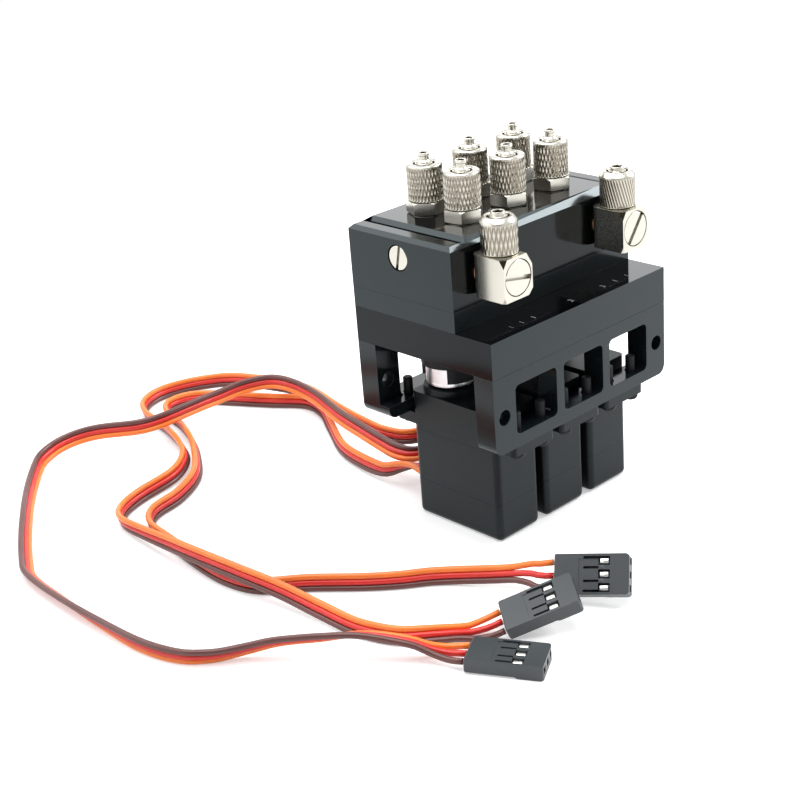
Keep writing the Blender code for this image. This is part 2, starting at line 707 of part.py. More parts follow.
def build_gallery_plug(steel):
    plug = slotted_cylinder(
        "gallery_plug",
        GALLERY_PLUG_RADIUS,
        GALLERY_PLUG_LENGTH,
        GALLERY_SLOT_WIDTH,
        math.pi / 2 + GALLERY_SLOT_ANGLE,
        16,
    )
    place = shift(
        -HALF_LENGTH + GALLERY_PLUG_SINK + GALLERY_PLUG_LENGTH,
        VALVE_Y,
        DECK - GALLERY_PLUG_DROP,
    )
    finish(put(plug, place @ Matrix.Rotation(-math.pi / 2, 4, "Y")), steel)


# ---------------------------------------------------------------------------------------------
# Spools and their couplings
# ---------------------------------------------------------------------------------------------

def valve_spool():
    """Rotary spool with its seal groove, port waist and lower collar with two jaws."""
    seal_low = (BASE_PLATE_LOW + BASE_PLATE_HIGH - SEAL_GROOVE_HEIGHT) / 2
    seal_high = seal_low + SEAL_GROOVE_HEIGHT
    port_high = SPOOL_TOP - PORT_DROP
    port_low = port_high - PORT_HEIGHT
    seal_radius = SPOOL_RADIUS - SEAL_GROOVE_DEPTH
    profile = (
        (0, COLLAR_LOW),
        (COLLAR_RADIUS, COLLAR_LOW),
        (COLLAR_RADIUS, COLLAR_HIGH),
        (SPOOL_RADIUS, COLLAR_HIGH),
        (SPOOL_RADIUS, seal_low),
        (seal_radius, seal_low),
        (seal_radius, seal_high),
        (SPOOL_RADIUS, seal_high),
        (SPOOL_RADIUS, port_low),
        (SPOOL_WAIST_RADIUS, port_low),
        (SPOOL_WAIST_RADIUS, port_high),
        (SPOOL_RADIUS, port_high),
        (SPOOL_RADIUS, SPOOL_TOP),
        (0, SPOOL_TOP),
    )
    spool = turned("valve_spool", profile, SPOOL_SEGMENTS)
    gap = (math.pi - 2 * JAW_SECTOR) / 2
    for turn in (0, math.pi):
        start = JAW_START + JAW_SECTOR + gap + turn
        low = DISC_HIGH + SEAM
        high = COLLAR_LOW + SEAM
        jaw = sector("jaw", JAW_INNER_RADIUS, DISC_RADIUS, start, JAW_SECTOR, low, high)
        combine(spool, jaw, "UNION")
    return spool


def drive_disc():
    """Output shaft and disc of the servo, with two upright jaws."""
    shaft_low = TOWER_TOP - SHAFT_DEPTH + RUNNING_GAP
    profile = (
        (0, shaft_low),
        (SHAFT_RADIUS, shaft_low),
        (SHAFT_RADIUS, DISC_LOW),
        (DISC_RADIUS, DISC_LOW),
        (DISC_RADIUS, DISC_HIGH),
        (0, DISC_HIGH),
    )
    disc = turned("drive_disc", profile, SPOOL_SEGMENTS)
    for turn in (0, math.pi):
        start = JAW_START + turn
        low = DISC_HIGH - SEAM
        jaw = sector("jaw", JAW_INNER_RADIUS, DISC_RADIUS, start, JAW_SECTOR, low, JAW_TOP)
        combine(disc, jaw, "UNION")
    return disc


def build_spools(steel, aluminium):
    patterns = {
        "valve_spool": finish(valve_spool(), steel),
        "drive_disc": finish(drive_disc(), aluminium),
    }
    for channel in CHANNEL_NAMES:
        axis = bpy.data.objects.new(f"valve_axis_{channel}", None)
        bpy.context.scene.collection.objects.link(axis)
        axis.location = (CHANNEL_X[channel], VALVE_Y, 0)
        for kind, pattern in patterns.items():
            piece = copy_of(pattern, f"{kind}_{channel}")
            piece.parent = axis
    for pattern in patterns.values():
        bpy.data.objects.remove(pattern, do_unlink=True)


# ---------------------------------------------------------------------------------------------
# Hose fittings and knurled nuts
# ---------------------------------------------------------------------------------------------

def stem_profile(low, height):
    """Hose stem above a seat: neck, flared lip and the bore down its middle."""
    top = low + height
    return [
        (STEM_RADIUS, top - LIP_HEIGHT),
        (LIP_RADIUS, top - LIP_HEIGHT * 0.6),
        (LIP_RADIUS - LIP_HEIGHT * 0.3, top),
        (STEM_BORE_RADIUS, top),
        (STEM_BORE_RADIUS, top - STEM_BORE_DEPTH),
        (0, top - STEM_BORE_DEPTH),
    ]


def hose_fitting():
    """Hexagon with a thin flange and spigot below it and the hose stem above it."""
    corner = HEX_FLATS / math.sqrt(3)
    ring = [
        (corner * math.cos(math.pi / 3 * step), corner * math.sin(math.pi / 3 * step))
        for step in range(6)
    ]
    fitting = prism("hose_fitting", "Z", ring, HEX_LOW, HEX_HIGH)
    waist = corner - HEX_CHAMFER
    barrel = turned(
        "barrel",
        (
            (0, HEX_LOW - SEAM),
            (waist, HEX_LOW - SEAM),
            (waist + SEAM * 1.7, HEX_LOW),
            (corner + SEAM, HEX_LOW + HEX_CHAMFER),
            (corner + SEAM, HEX_HIGH - HEX_CHAMFER),
            (waist + SEAM * 1.7, HEX_HIGH),
            (waist, HEX_HIGH + SEAM),
            (0, HEX_HIGH + SEAM),
        ),
        ROUND_SEGMENTS,
    )
    combine(fitting, barrel, "INTERSECT")
    flange_low = HEX_LOW - FLANGE_HEIGHT
    spigot_low = DECK - SPIGOT_LENGTH
    profile = [
        (0, spigot_low),
        (SPIGOT_RADIUS, spigot_low),
        (SPIGOT_RADIUS, flange_low),
        (FLANGE_RADIUS, flange_low),
        (FLANGE_RADIUS, HEX_LOW + SEAM),
        (STEM_RADIUS, HEX_HIGH - SEAM),
    ]
    core = turned("core", profile + stem_profile(HEX_HIGH, DECK_STEM_HEIGHT), SMALL_SEGMENTS)
    combine(fitting, core, "UNION")
    return fitting


def knurled_nut(name, height, rim_height):
    """Nut with its foot at Z = 0. Raised diamonds cover it up to the plain rim.

    Every second point of the grid is a peak. The cells between them are split from hollow to
    hollow, so that the hollows join into two families of crossing spiral grooves.
    """
    shape = bmesh.new()
    count = KNURL_COLUMNS
    floor_radius = NUT_RADIUS - KNURL_DEPTH
    knurl_high = height - rim_height
    rows = []
    for row in range(KNURL_ROWS + 1):
        z = NUT_RIM_CHAMFER + (knurl_high - NUT_RIM_CHAMFER) * row / KNURL_ROWS
        points = []
        for column in range(count):
            peak = (row + column) % 2 == 0 and 0 < row < KNURL_ROWS
            radius = NUT_RADIUS if peak else floor_radius
            angle = 2 * math.pi * column / count
            points.append(shape.verts.new((radius * math.cos(angle), radius * math.sin(angle), z)))
        rows.append(points)
    for row in range(KNURL_ROWS):
        for column in range(count):
            after = (column + 1) % count
            near, next_near = rows[row][column], rows[row][after]
            far, next_far = rows[row + 1][column], rows[row + 1][after]
            if (row + column) % 2 == 0:
                shape.faces.new((near, next_near, far))
                shape.faces.new((next_near, next_far, far))
            else:
                shape.faces.new((near, next_near, next_far))
                shape.faces.new((near, next_far, far))
    rim = NUT_RADIUS
    above = [
        ring_of_points(shape, rim, knurl_high + NUT_RIM_CHAMFER / 2, count),
        ring_of_points(shape, rim, height - NUT_RIM_CHAMFER, count),
        ring_of_points(shape, rim - NUT_RIM_CHAMFER, height, count),
        ring_of_points(shape, NUT_MOUTH_RADIUS, height, count),
        ring_of_points(shape, NUT_MOUTH_RADIUS, 0, count),
        ring_of_points(shape, floor_radius - NUT_RIM_CHAMFER, 0, count),
    ]
    join_rows(shape, [rows[-1]] + above + [rows[0]], False)
    return add_object(name, shape)


def build_fittings(nickel):
    fitting = finish(hose_fitting(), nickel)
    nut = finish(knurled_nut("hose_nut", NUT_HEIGHT, NUT_RIM_HEIGHT), nickel)
    for name, (x, y) in fitting_places().items():
        piece = copy_of(fitting, f"hose_fitting_{name}")
        piece.location = (x, y, 0)
        piece.rotation_euler = Euler((0, 0, math.radians(HEX_TURNS[name.split("_")[0]])))
        ring = copy_of(nut, f"hose_nut_{name}")
        ring.location = (x, y, HEX_HIGH + SEAM)
    for pattern in (fitting, nut):
        bpy.data.objects.remove(pattern, do_unlink=True)


# ---------------------------------------------------------------------------------------------
# Elbow fittings
# ---------------------------------------------------------------------------------------------

def elbow_body():
    """Banjo body about the bolt axis, which is the object's Y axis, with the stem on top."""
    half = ELBOW_WIDTH / 2
    cut = ELBOW_CORNER_CUT
    edge = ELBOW_EDGE_RADIUS / 2
    outline = (
        (-half, -ELBOW_FALL + edge),
        (-half + edge, -ELBOW_FALL),
        (half - cut, -ELBOW_FALL),
        (half, -ELBOW_FALL + cut),
        (half, ELBOW_RISE - cut),
        (half - cut, ELBOW_RISE),
        (-half + edge, ELBOW_RISE),
        (-half, ELBOW_RISE - edge),
    )
    body = prism("elbow_body", "Y", outline, ELBOW_FRONT, ELBOW_REAR)
    plan = rounded_rectangle(
        (-half - SEAM, ELBOW_FRONT),
        (half + SEAM, ELBOW_REAR),
        (ELBOW_EDGE_RADIUS,) * 4,
    )
    low = -ELBOW_FALL - SEAM
    high = ELBOW_RISE + SEAM
    combine(body, prism("plan", "Z", plan, low, high), "INTERSECT")
    seat = ELBOW_RISE
    profile = [(0, seat - SEAM), (STEM_RADIUS, seat - SEAM)]
    stem = turned("stem", profile + stem_profile(seat, ELBOW_STEM_HEIGHT), SMALL_SEGMENTS)
    combine(body, put(stem, shift(0, ELBOW_NUT_Y, 0)), "UNION")
    cuts = (
        (BOLT_HOLE_RADIUS, ELBOW_FRONT - SEAM, ELBOW_REAR + SEAM),
        (
            BOLT_HEAD_RADIUS + BOLT_HEAD_GAP,
            ELBOW_FRONT - SEAM,
            ELBOW_FRONT + BOLT_HEAD_THICKNESS + RUNNING_GAP,
        ),
        (WASHER_RADIUS + SEAM, ELBOW_REAR - WASHER_THICKNESS - RUNNING_GAP, ELBOW_REAR + SEAM),
    )
    for radius, low, high in cuts:
        ring = arc((0, 0), radius, 0, 2 * math.pi, ROUND_SEGMENTS)[:-1]
        combine(body, prism("hole", "Y", ring, low, high), "DIFFERENCE")
    return body


def banjo_bolt(name, slot_angle):
    """Slotted bolt that lies along Y, with its slotted face at the elbow's front."""
    head = slotted_cylinder(
        name,
        BOLT_HEAD_RADIUS,
        BOLT_HEAD_THICKNESS,
        BOLT_SLOT_WIDTH,
        math.pi / 2 - math.radians(slot_angle),
        ROUND_SEGMENTS,
    )
    length = BLOCK_FRONT + BOLT_REACH - ELBOW_FRONT
    shank = cylinder("shank", BOLT_SHANK_RADIUS, BOLT_HEAD_THICKNESS - length, SEAM, 16)
    combine(head, shank, "UNION")
    turn = Matrix.Rotation(math.pi / 2, 4, "X")
    return put(head, shift(0, ELBOW_FRONT + BOLT_HEAD_THICKNESS, 0) @ turn)


def banjo_washer():
    inner = BOLT_HOLE_RADIUS
    profile = (
        (inner, 0),
        (WASHER_RADIUS, 0),
        (WASHER_RADIUS, WASHER_THICKNESS),
        (inner, WASHER_THICKNESS),
    )
    washer = turned("banjo_washer", profile, ROUND_SEGMENTS)
    turn = Matrix.Rotation(math.pi / 2, 4, "X")
    return put(washer, shift(0, ELBOW_REAR, 0) @ turn)


def build_elbows(nickel, copper):
    body = finish(elbow_body(), nickel)
    nut = finish(knurled_nut("elbow_nut", ELBOW_NUT_HEIGHT, ELBOW_NUT_RIM_HEIGHT), nickel)
    washer = finish(banjo_washer(), copper)
    sides = (("left", -1), ("right", 1))
    for (side, sign), slot_angle in zip(sides, BOLT_SLOT_ANGLES):
        x = sign * ELBOW_SPREAD
        axis = bpy.data.objects.new(f"elbow_axis_{side}", None)
        bpy.context.scene.collection.objects.link(axis)
        axis.location = (x, 0, BOLT_AXIS_Z)
        piece = copy_of(body, f"elbow_body_{side}")
        piece.parent = axis
        ring = copy_of(nut, f"elbow_nut_{side}")
        ring.parent = axis
        ring.location = (0, ELBOW_NUT_Y, ELBOW_RISE + SEAM)
        bolt = finish(banjo_bolt(f"banjo_bolt_{side}", slot_angle), nickel)
        bolt.location = (x, 0, BOLT_AXIS_Z)
        seal = copy_of(washer, f"banjo_washer_{side}")
        seal.location = (x, 0, BOLT_AXIS_Z)
    for pattern in (body, nut, washer):
        bpy.data.objects.remove(pattern, do_unlink=True)


# ---------------------------------------------------------------------------------------------
# Servo leads and plugs
# ---------------------------------------------------------------------------------------------

def plug_matrix(channel):
    (x, y, z), (yaw, pitch, roll) = PLUG_PLACES[channel]
    turn = Matrix.Rotation(math.radians(yaw), 4, "Z")
    turn = turn @ Matrix.Rotation(-math.radians(pitch), 4, "Y")
    turn = turn @ Matrix.Rotation(math.radians(roll), 4, "X")
    return shift(x, y, z) @ turn


def servo_plug():
    """Three-way plug: its rear end at X = 0, its nose towards +X, its underside at Z = 0."""
    half = PLUG_WIDTH / 2
    nose = PLUG_LENGTH - PLUG_NOSE_LENGTH
    side = (
        (0, PLUG_EDGE),
        (PLUG_EDGE, 0),
        (nose - PLUG_EDGE, 0),
        (nose, -PLUG_NOSE_STEP),
        (PLUG_LENGTH - PLUG_EDGE, -PLUG_NOSE_STEP),
        (PLUG_LENGTH, PLUG_EDGE),
        (PLUG_LENGTH, PLUG_THICKNESS - PLUG_EDGE),
        (PLUG_LENGTH - PLUG_EDGE, PLUG_THICKNESS),
        (PLUG_EDGE, PLUG_THICKNESS),
        (0, PLUG_THICKNESS - PLUG_EDGE),
    )
    plug = prism("servo_plug", "Y", side, -half, half)
    middle = PLUG_THICKNESS / 2
    reach = CONTACT_SOCKET / 2
    for row in (-1, 0, 1):
        y = row * CONTACT_PITCH
        socket = block(
            "socket",
            (PLUG_LENGTH - CONTACT_SOCKET_DEPTH, y - reach, middle - reach),
            (PLUG_LENGTH + SEAM, y + reach, middle + reach),
        )
        combine(plug, socket, "DIFFERENCE")
        latch = block(
            "latch",
            (PLUG_LENGTH - LATCH_SETBACK - LATCH_LENGTH, y - LATCH_WIDTH / 2, middle),
            (PLUG_LENGTH - LATCH_SETBACK, y + LATCH_WIDTH / 2, PLUG_THICKNESS + SEAM),
        )
        combine(plug, latch, "DIFFERENCE")
    return plug


def smooth_curve(points, spacing):
    """Evenly spaced points on a Catmull-Rom curve through the way points."""
    padded = [2 * points[0] - points[1]] + points + [2 * points[-1] - points[-2]]
    fine = []
    steps = 24
    for index in range(1, len(padded) - 2):
        before, start, end, after = padded[index - 1:index + 3]
        for step in range(steps):
            t = step / steps
            fine.append(
                0.5 * (
                    2 * start
                    + (end - before) * t
                    + (2 * before - 5 * start + 4 * end - after) * t ** 2
                    + (3 * start - before - 3 * end + after) * t ** 3
                )
            )
    fine.append(points[-1])
    lengths = [0.0]
    for start, end in zip(fine, fine[1:]):
        lengths.append(lengths[-1] + (end - start).length)
    count = max(2, round(lengths[-1] / spacing))
    even = []
    position = 0
    for step in range(count + 1):
        wanted = lengths[-1] * step / count
        while position < len(fine) - 2 and lengths[position + 1] < wanted:
            position += 1
        share = (wanted - lengths[position]) / (lengths[position + 1] - lengths[position])
        even.append(fine[position].lerp(fine[position + 1], share))
    return even


def servo_lead(channel, material):
    exit_z = BOTTOM_COVER_HEIGHT - RELIEF_TOP_DROP - RELIEF_HEIGHT / 2
    start = Vector((CHANNEL_X[channel], SERVO_REAR + RELIEF_DEPTH + SEAM, exit_z))
    after_start = start + Vector((0, LEAD_DIAMETER, 0))
    end = plug_matrix(channel) @ Vector((-SEAM, 0, PLUG_THICKNESS / 2))
    before_end = plug_matrix(channel) @ Vector((-SEAM - LEAD_DIAMETER, 0, PLUG_THICKNESS / 2))
    route = [Vector(point) * MILLIMETRE for point in LEAD_ROUTES[channel]]
    middle = smooth_curve([after_start] + route + [before_end], LEAD_DIAMETER * LEAD_STEP)
    points = [start] + middle + [end]
    curve = bpy.data.curves.new(f"servo_lead_{channel}", "CURVE")
    curve.dimensions = "3D"
    curve.bevel_depth = LEAD_DIAMETER / 2
    curve.bevel_resolution = 2
    curve.use_fill_caps = True
    spline = curve.splines.new("POLY")
    spline.points.add(len(points) - 1)
    for point, place in zip(spline.points, points):
        point.co = (*place, 1.0)
    lead = bpy.data.objects.new(f"servo_lead_{channel}", curve)
    curve.materials.append(material)
    bpy.context.scene.collection.objects.link(lead)


def build_leads(wire, plastic):
    plug = finish(servo_plug(), plastic)
    for channel in CHANNEL_NAMES:
        piece = copy_of(plug, f"servo_plug_{channel}")
        piece.matrix_world = plug_matrix(channel)
        servo_lead(channel, wire)
    bpy.data.objects.remove(plug, do_unlink=True)


# ---------------------------------------------------------------------------------------------
# Assembly
# ---------------------------------------------------------------------------------------------

def main():
    clear_scene()
    black_metal = make_material("black_anodised", (0.020, 0.022, 0.024), 0.28, 0.6)
    black_plastic = make_material("black_plastic", (0.018, 0.019, 0.021), 0.45)
    nickel = make_material("nickel_plate", (0.62, 0.56, 0.47), 0.25, 1.0)
    aluminium = make_material("bare_aluminium", (0.80, 0.81, 0.82), 0.30, 1.0)
    steel = make_material("dark_steel", (0.10, 0.10, 0.11), 0.35, 1.0)
    copper = make_material("copper_seal", (0.72, 0.38, 0.22), 0.35, 1.0)
    wire = make_material("wire_insulation", (0.85, 0.25, 0.06), 0.45)
    build_servos(black_plastic, steel)
    build_bracket(black_metal)
    build_block(black_metal)
    build_gallery_plug(nickel)
    build_spools(steel, aluminium)
    build_fittings(nickel)
    build_elbows(nickel, copper)
    build_leads(wire, black_plastic)


main()
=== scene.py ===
# %% [markdown]
# A rotary valve block with three micro servos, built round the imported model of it.
#
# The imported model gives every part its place: the block, its windowed bracket, the servos under
# it and the leads behind. This file gives them their looks. Each part gets its own small edges,
# knurls and slots, a finish made from nodes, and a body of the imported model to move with.

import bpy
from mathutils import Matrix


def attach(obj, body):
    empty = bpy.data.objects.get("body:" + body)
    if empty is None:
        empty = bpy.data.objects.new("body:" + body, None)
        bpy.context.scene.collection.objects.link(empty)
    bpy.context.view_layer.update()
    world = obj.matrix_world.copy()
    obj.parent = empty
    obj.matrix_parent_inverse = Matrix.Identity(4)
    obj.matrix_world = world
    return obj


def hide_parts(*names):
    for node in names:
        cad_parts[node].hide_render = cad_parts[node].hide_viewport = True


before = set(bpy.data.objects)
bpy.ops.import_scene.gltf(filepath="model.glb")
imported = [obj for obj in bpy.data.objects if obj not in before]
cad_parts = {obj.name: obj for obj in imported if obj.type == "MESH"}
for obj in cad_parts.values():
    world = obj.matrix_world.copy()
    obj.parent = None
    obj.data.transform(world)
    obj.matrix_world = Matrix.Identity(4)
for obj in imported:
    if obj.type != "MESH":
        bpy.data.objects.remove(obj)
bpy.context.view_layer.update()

import math

import bmesh
import bpy
from mathutils import Matrix, Vector

MM = 0.001

# %% [markdown]
# The view comes first, because it shows at once whether the leads lie inside it. The camera is
# a long lens that looks down on the block's corner, turned a little about its own axis. A new
# camera looks straight down, so its matrix rolls it, lifts it to the slope and turns it round.

# %% Camera
CAMERA_PLACE = Vector((-220.6, -205.0, 154.2)) * MM
CAMERA_TURN = math.radians(42.5)
CAMERA_DIP = math.radians(23.6)
CAMERA_ROLL = math.radians(-4.55)
CAMERA_LENS, CAMERA_SENSOR = 71.18, 36

bpy.ops.object.camera_add()
camera = bpy.context.object
camera.name = "camera"
camera.data.lens = CAMERA_LENS
camera.data.sensor_width = CAMERA_SENSOR
camera.data.clip_start, camera.data.clip_end = 0.01, 20
camera.matrix_world = (
    Matrix.Translation(CAMERA_PLACE)
    @ Matrix.Rotation(-CAMERA_TURN, 4, "Z")
    @ Matrix.Rotation(math.pi / 2 - CAMERA_DIP, 4, "X")
    @ Matrix.Rotation(CAMERA_ROLL, 4, "Z")
)
bpy.context.scene.camera = camera
bpy.context.scene.view_settings.view_transform = "Standard"
print("camera placed")

# %% [markdown]
# Every part below is shaped in the same way. A primitive is added, a few of its faces or edges
# are selected by where they are, and an operator works on those. These helpers do the
# selecting. An operator acts on all that is selected, so each starts by selecting nothing. The
# sizes below are in millimetres, and the helpers turn them into Blender's metres.

# %% Selecting by place
def metres(values):
    return Vector([value * MM for value in values])


def near(a, b):
    return abs(a - b) < 0.01


def select_nothing():
    if bpy.context.mode != "OBJECT":
        bpy.ops.object.mode_set(mode="OBJECT")
    bpy.ops.object.select_all(action="DESELECT")


def only(piece):
    """Selects one object and makes it the active one."""
    select_nothing()
    piece.select_set(True)
    bpy.context.view_layer.objects.active = piece


def open_edit(piece, action="SELECT"):
    """Enters edit mode with the whole mesh selected, or with nothing for DESELECT."""
    only(piece)
    bpy.ops.object.mode_set(mode="EDIT")
    bpy.ops.mesh.select_all(action=action)


def select(piece, kind, test):
    """Enters edit mode and selects each VERT, EDGE or FACE that passes the test.

    The test gets a vertex's place, an edge's two ends, or a face's middle and its normal.
    """
    open_edit(piece, "DESELECT")
    bpy.ops.mesh.select_mode(type=kind)
    mesh = bmesh.from_edit_mesh(piece.data)
    if kind == "VERT":
        found = [(point, [point.co / MM]) for point in mesh.verts]
    elif kind == "EDGE":
        found = [(edge, [end.co / MM for end in edge.verts]) for edge in mesh.edges]
    else:
        found = [(face, [face.calc_center_median() / MM, face.normal]) for face in mesh.faces]
    for part, values in found:
        part.select_set(bool(test(*values)))
    bmesh.update_edit_mesh(piece.data)


def close_edit():
    bpy.ops.object.mode_set(mode="OBJECT")


def face_outwards():
    """Turns the faces of the mesh in edit mode outwards, and leaves edit mode."""
    bpy.ops.mesh.select_all(action="SELECT")
    bpy.ops.mesh.normals_make_consistent(inside=False)
    close_edit()

# %% [markdown]
# Two helpers make the forms that nearly every machined part starts from. A box is a cube at its
# size. A turned part is a disc that is extruded and scaled ring by ring, as a lathe would
# leave it. A piece's object stays at the origin, and only its mesh is moved to its place.

# %% Boxes and turned parts
def keep_new(name):
    """Names the newest object and moves its place and size into its mesh."""
    piece = bpy.context.object
    piece.name = name
    bpy.ops.object.transform_apply(location=True, rotation=True, scale=True)
    return piece


def new_box(name, low, high):
    low, high = metres(low), metres(high)
    select_nothing()
    bpy.ops.mesh.primitive_cube_add(size=1, location=(low + high) / 2, scale=high - low)
    return keep_new(name)


def new_turned(name, rings, sides=48):
    """A solid about Z from pairs of radius and height, from the foot upwards."""
    radius, height = rings[0]
    select_nothing()
    bpy.ops.mesh.primitive_circle_add(
        vertices=sides, radius=radius * MM, fill_type="NGON", location=(0, 0, height * MM)
    )
    piece = keep_new(name)
    open_edit(piece)
    for next_radius, next_height in rings[1:]:
        step = {"value": (0, 0, (next_height - height) * MM)}
        bpy.ops.mesh.extrude_region_move(TRANSFORM_OT_translate=step)
        grow = next_radius / radius
        bpy.ops.transform.resize(value=(grow, grow, 1), center_override=(0, 0, 0))
        radius, height = next_radius, next_height
    face_outwards()
    return piece


def placed(x, y, z, turn=0.0, axis="Z"):
    """Turns a part about an axis through the origin, and then moves it."""
    return Matrix.Translation(metres((x, y, z))) @ Matrix.Rotation(turn, 4, axis)


def move_mesh(piece, matrix):
    """Moves the mesh inside its object, which stays at the origin."""
    piece.data.transform(matrix)
    piece.data.update()
    return piece

# %% [markdown]
# Holes and joined parts are Boolean modifiers that are applied at once. Real edges are never
# quite sharp, so a narrow Bevel ends each part: it is what catches the light. Soften also
# leaves an attribute on the bevelled faces, and another helper one on points in bores and
# facets, which the finish darkens as painted shade.

# %% Cuts and soft edges
def remove(*objects):
    for thing in objects:
        bpy.data.objects.remove(thing, do_unlink=True)


def boolean(piece, tool, operation="DIFFERENCE"):
    """Cuts the tool away, joins it on (UNION) or keeps what both share (INTERSECT)."""
    only(piece)
    modifier = piece.modifiers.new("shape", "BOOLEAN")
    modifier.operation = operation
    modifier.solver = "EXACT"
    modifier.object = tool
    bpy.ops.object.modifier_apply(modifier=modifier.name)
    remove(tool)
    return piece


def round_edges(piece, width, segments, test):
    """Bevels the edges that the test picks."""
    select(piece, "EDGE", test)
    bpy.ops.mesh.bevel(offset=width * MM, segments=segments, affect="EDGES")
    close_edit()
    return piece


def soften(piece, width, segments=2, angle=35):
    """Breaks every sharp edge, marks the new faces as edge, and shades the rest smooth."""
    only(piece)
    for _ in range(2):
        piece.data.materials.append(None)
    modifier = piece.modifiers.new("soft edges", "BEVEL")
    modifier.width = width * MM
    modifier.segments = segments
    modifier.limit_method = "ANGLE"
    modifier.angle_limit = math.radians(angle)
    modifier.harden_normals = False
    modifier.material = 1
    bpy.ops.object.modifier_apply(modifier=modifier.name)
    edge = piece.data.attributes.new("edge", "FLOAT", "FACE")
    edge.data.foreach_set("value", [float(face.material_index) for face in piece.data.polygons])
    piece.data.materials.clear()
    for face in piece.data.polygons:
        face.material_index = 0
    bpy.ops.object.shade_smooth_by_angle(angle=math.radians(angle))
    weighted = piece.modifiers.new("flat faces stay flat", "WEIGHTED_NORMAL")
    weighted.keep_sharp = True
    weighted.weight = 100
    bpy.ops.object.modifier_apply(modifier=weighted.name)
    return piece


def mark_painted_shade(piece, test):
    """Marks points in a bore or on a facet, for the finish to darken as painted shade."""
    if "hollow" not in piece.data.attributes:
        piece.data.attributes.new("hollow", "FLOAT", "POINT")
    mask = piece.data.attributes["hollow"]
    for point, value in zip(piece.data.vertices, mask.data):
        if test(point.co / MM):
            value.value = 1.0
    return piece

# %% [markdown]
# Two effects are used by several finishes, so each is a node group. The first is fine grain:
# small noise for a bump, with large soft patches that vary colour and roughness. The second is
# edge wear. It reads the attribute that soften leaves, because Pointiness is only exact on
# dense meshes, and these have large flat faces.

# %% Shared node groups
def build(tree, nodes, links, **made):
    """Adds a row of nodes and links them. Nodes that are there already are passed by name.

    A node is its kind and its values. A number or a capital letter marks an input, and a
    small letter a setting. A link says node.output > node.input. A Mix node's two colours
    are its inputs 6 and 7, and its output 2 is their mix.
    """
    for name, (kind, values) in nodes.items():
        node = made[name] = tree.nodes.new(f"ShaderNode{kind}")
        node.location = (200 * len(tree.nodes), 0)
        for key, value in values.items():
            if isinstance(key, int) or key[0].isupper():
                node.inputs[key].default_value = value
            else:
                setattr(node, key, value)
    for line in links.strip().splitlines():
        (start, given), (end, taken) = (side.strip().split(".") for side in line.split(">"))
        given, taken = (int(key) if key.isdigit() else key for key in (given, taken))
        tree.links.new(made[start].outputs[given], made[end].inputs[taken])


def new_group(name, inputs, outputs, nodes, links):
    """A node group whose sockets are plain numbers. Its two ends are start and end."""
    group = bpy.data.node_groups.new(name, "ShaderNodeTree")
    for direction, sockets in (("INPUT", inputs), ("OUTPUT", outputs)):
        for socket in sockets:
            group.interface.new_socket(socket, in_out=direction, socket_type="NodeSocketFloat")
    start, end = (group.nodes.new(kind) for kind in ("NodeGroupInput", "NodeGroupOutput"))
    build(group, nodes, links, start=start, end=end)
    return group


grain_group = new_group("fine grain", ("Grain Scale", "Patch Scale"), ("Height", "Patches"), {
    "place": ("TexCoord", {}),
    "grain": ("TexNoise", {"Detail": 3.0, "Roughness": 0.6}),
    "patches": ("TexNoise", {"Detail": 2.0, "Roughness": 0.5}),
    "spread": ("MapRange", {"From Min": 0.3, "From Max": 0.7}),
}, """
    place.Object > grain.Vector
    place.Object > patches.Vector
    start.Grain Scale > grain.Scale
    start.Patch Scale > patches.Scale
    patches.Fac > spread.Value
    grain.Fac > end.Height
    spread.Result > end.Patches
""")
wear_group = new_group("edge wear", ("Amount",), ("Wear",), {
    "edge": ("Attribute", {"attribute_name": "edge"}),
    "place": ("TexCoord", {}),
    "noise": ("TexNoise", {"Scale": 500.0, "Detail": 3.0}),
    "broken": ("Math", {"operation": "MULTIPLY"}),
    "scaled": ("Math", {"operation": "MULTIPLY"}),
}, """
    place.Object > noise.Vector
    edge.Fac > broken.0
    noise.Fac > broken.1
    broken.Value > scaled.0
    start.Amount > scaled.1
    scaled.Value > end.Wear
""")
print("node groups:", grain_group.name, "and", wear_group.name)

# %% [markdown]
# One function builds a finish from these groups. It mixes two near colours by the soft patches,
# lets the roughness drift the same way, brings a paler colour through on worn edges, and adds
# the grain as a bump.

# %% One finish from its numbers
WORN_BLACK = (0.10, 0.11, 0.12)
COOL_TINT, FAINT_TINT = (0.80, 0.95, 1.0), (0.85, 0.96, 1.0)
GRAIN_DEPTH = 0.02 * MM


def new_finish(
    name, colour, second_colour, roughness, spread, metallic,
    worn_colour, wear, grain_scale, bump, patch_scale=60.0, specular=0.5, tint=(1, 1, 1),
):
    material = bpy.data.materials.new(name)
    material.use_nodes = True
    shader = material.node_tree.nodes["Principled BSDF"]
    shader.inputs["Metallic"].default_value = metallic
    shader.inputs["Specular IOR Level"].default_value = specular
    shader.inputs["Specular Tint"].default_value = (*tint, 1)
    build(material.node_tree, {
        "grain": ("Group", {
            "node_tree": grain_group, "Grain Scale": grain_scale, "Patch Scale": patch_scale,
        }),
        "edge": ("Group", {"node_tree": wear_group, "Amount": wear}),
        "patches": ("Mix", {"data_type": "RGBA", 6: (*colour, 1), 7: (*second_colour, 1)}),
        "worn": ("Mix", {"data_type": "RGBA", 7: (*worn_colour, 1)}),
        "drift": ("MapRange", {"To Min": roughness - spread, "To Max": roughness + spread}),
        "relief": ("Bump", {"Strength": bump, "Distance": GRAIN_DEPTH}),
    }, """
        grain.Patches > patches.0
        grain.Patches > drift.Value
        grain.Height > relief.Height
        patches.2 > worn.6
        edge.Wear > worn.0
        worn.2 > shader.Base Color
        drift.Result > shader.Roughness
        relief.Normal > shader.Normal
    """, shader=shader)
    return material

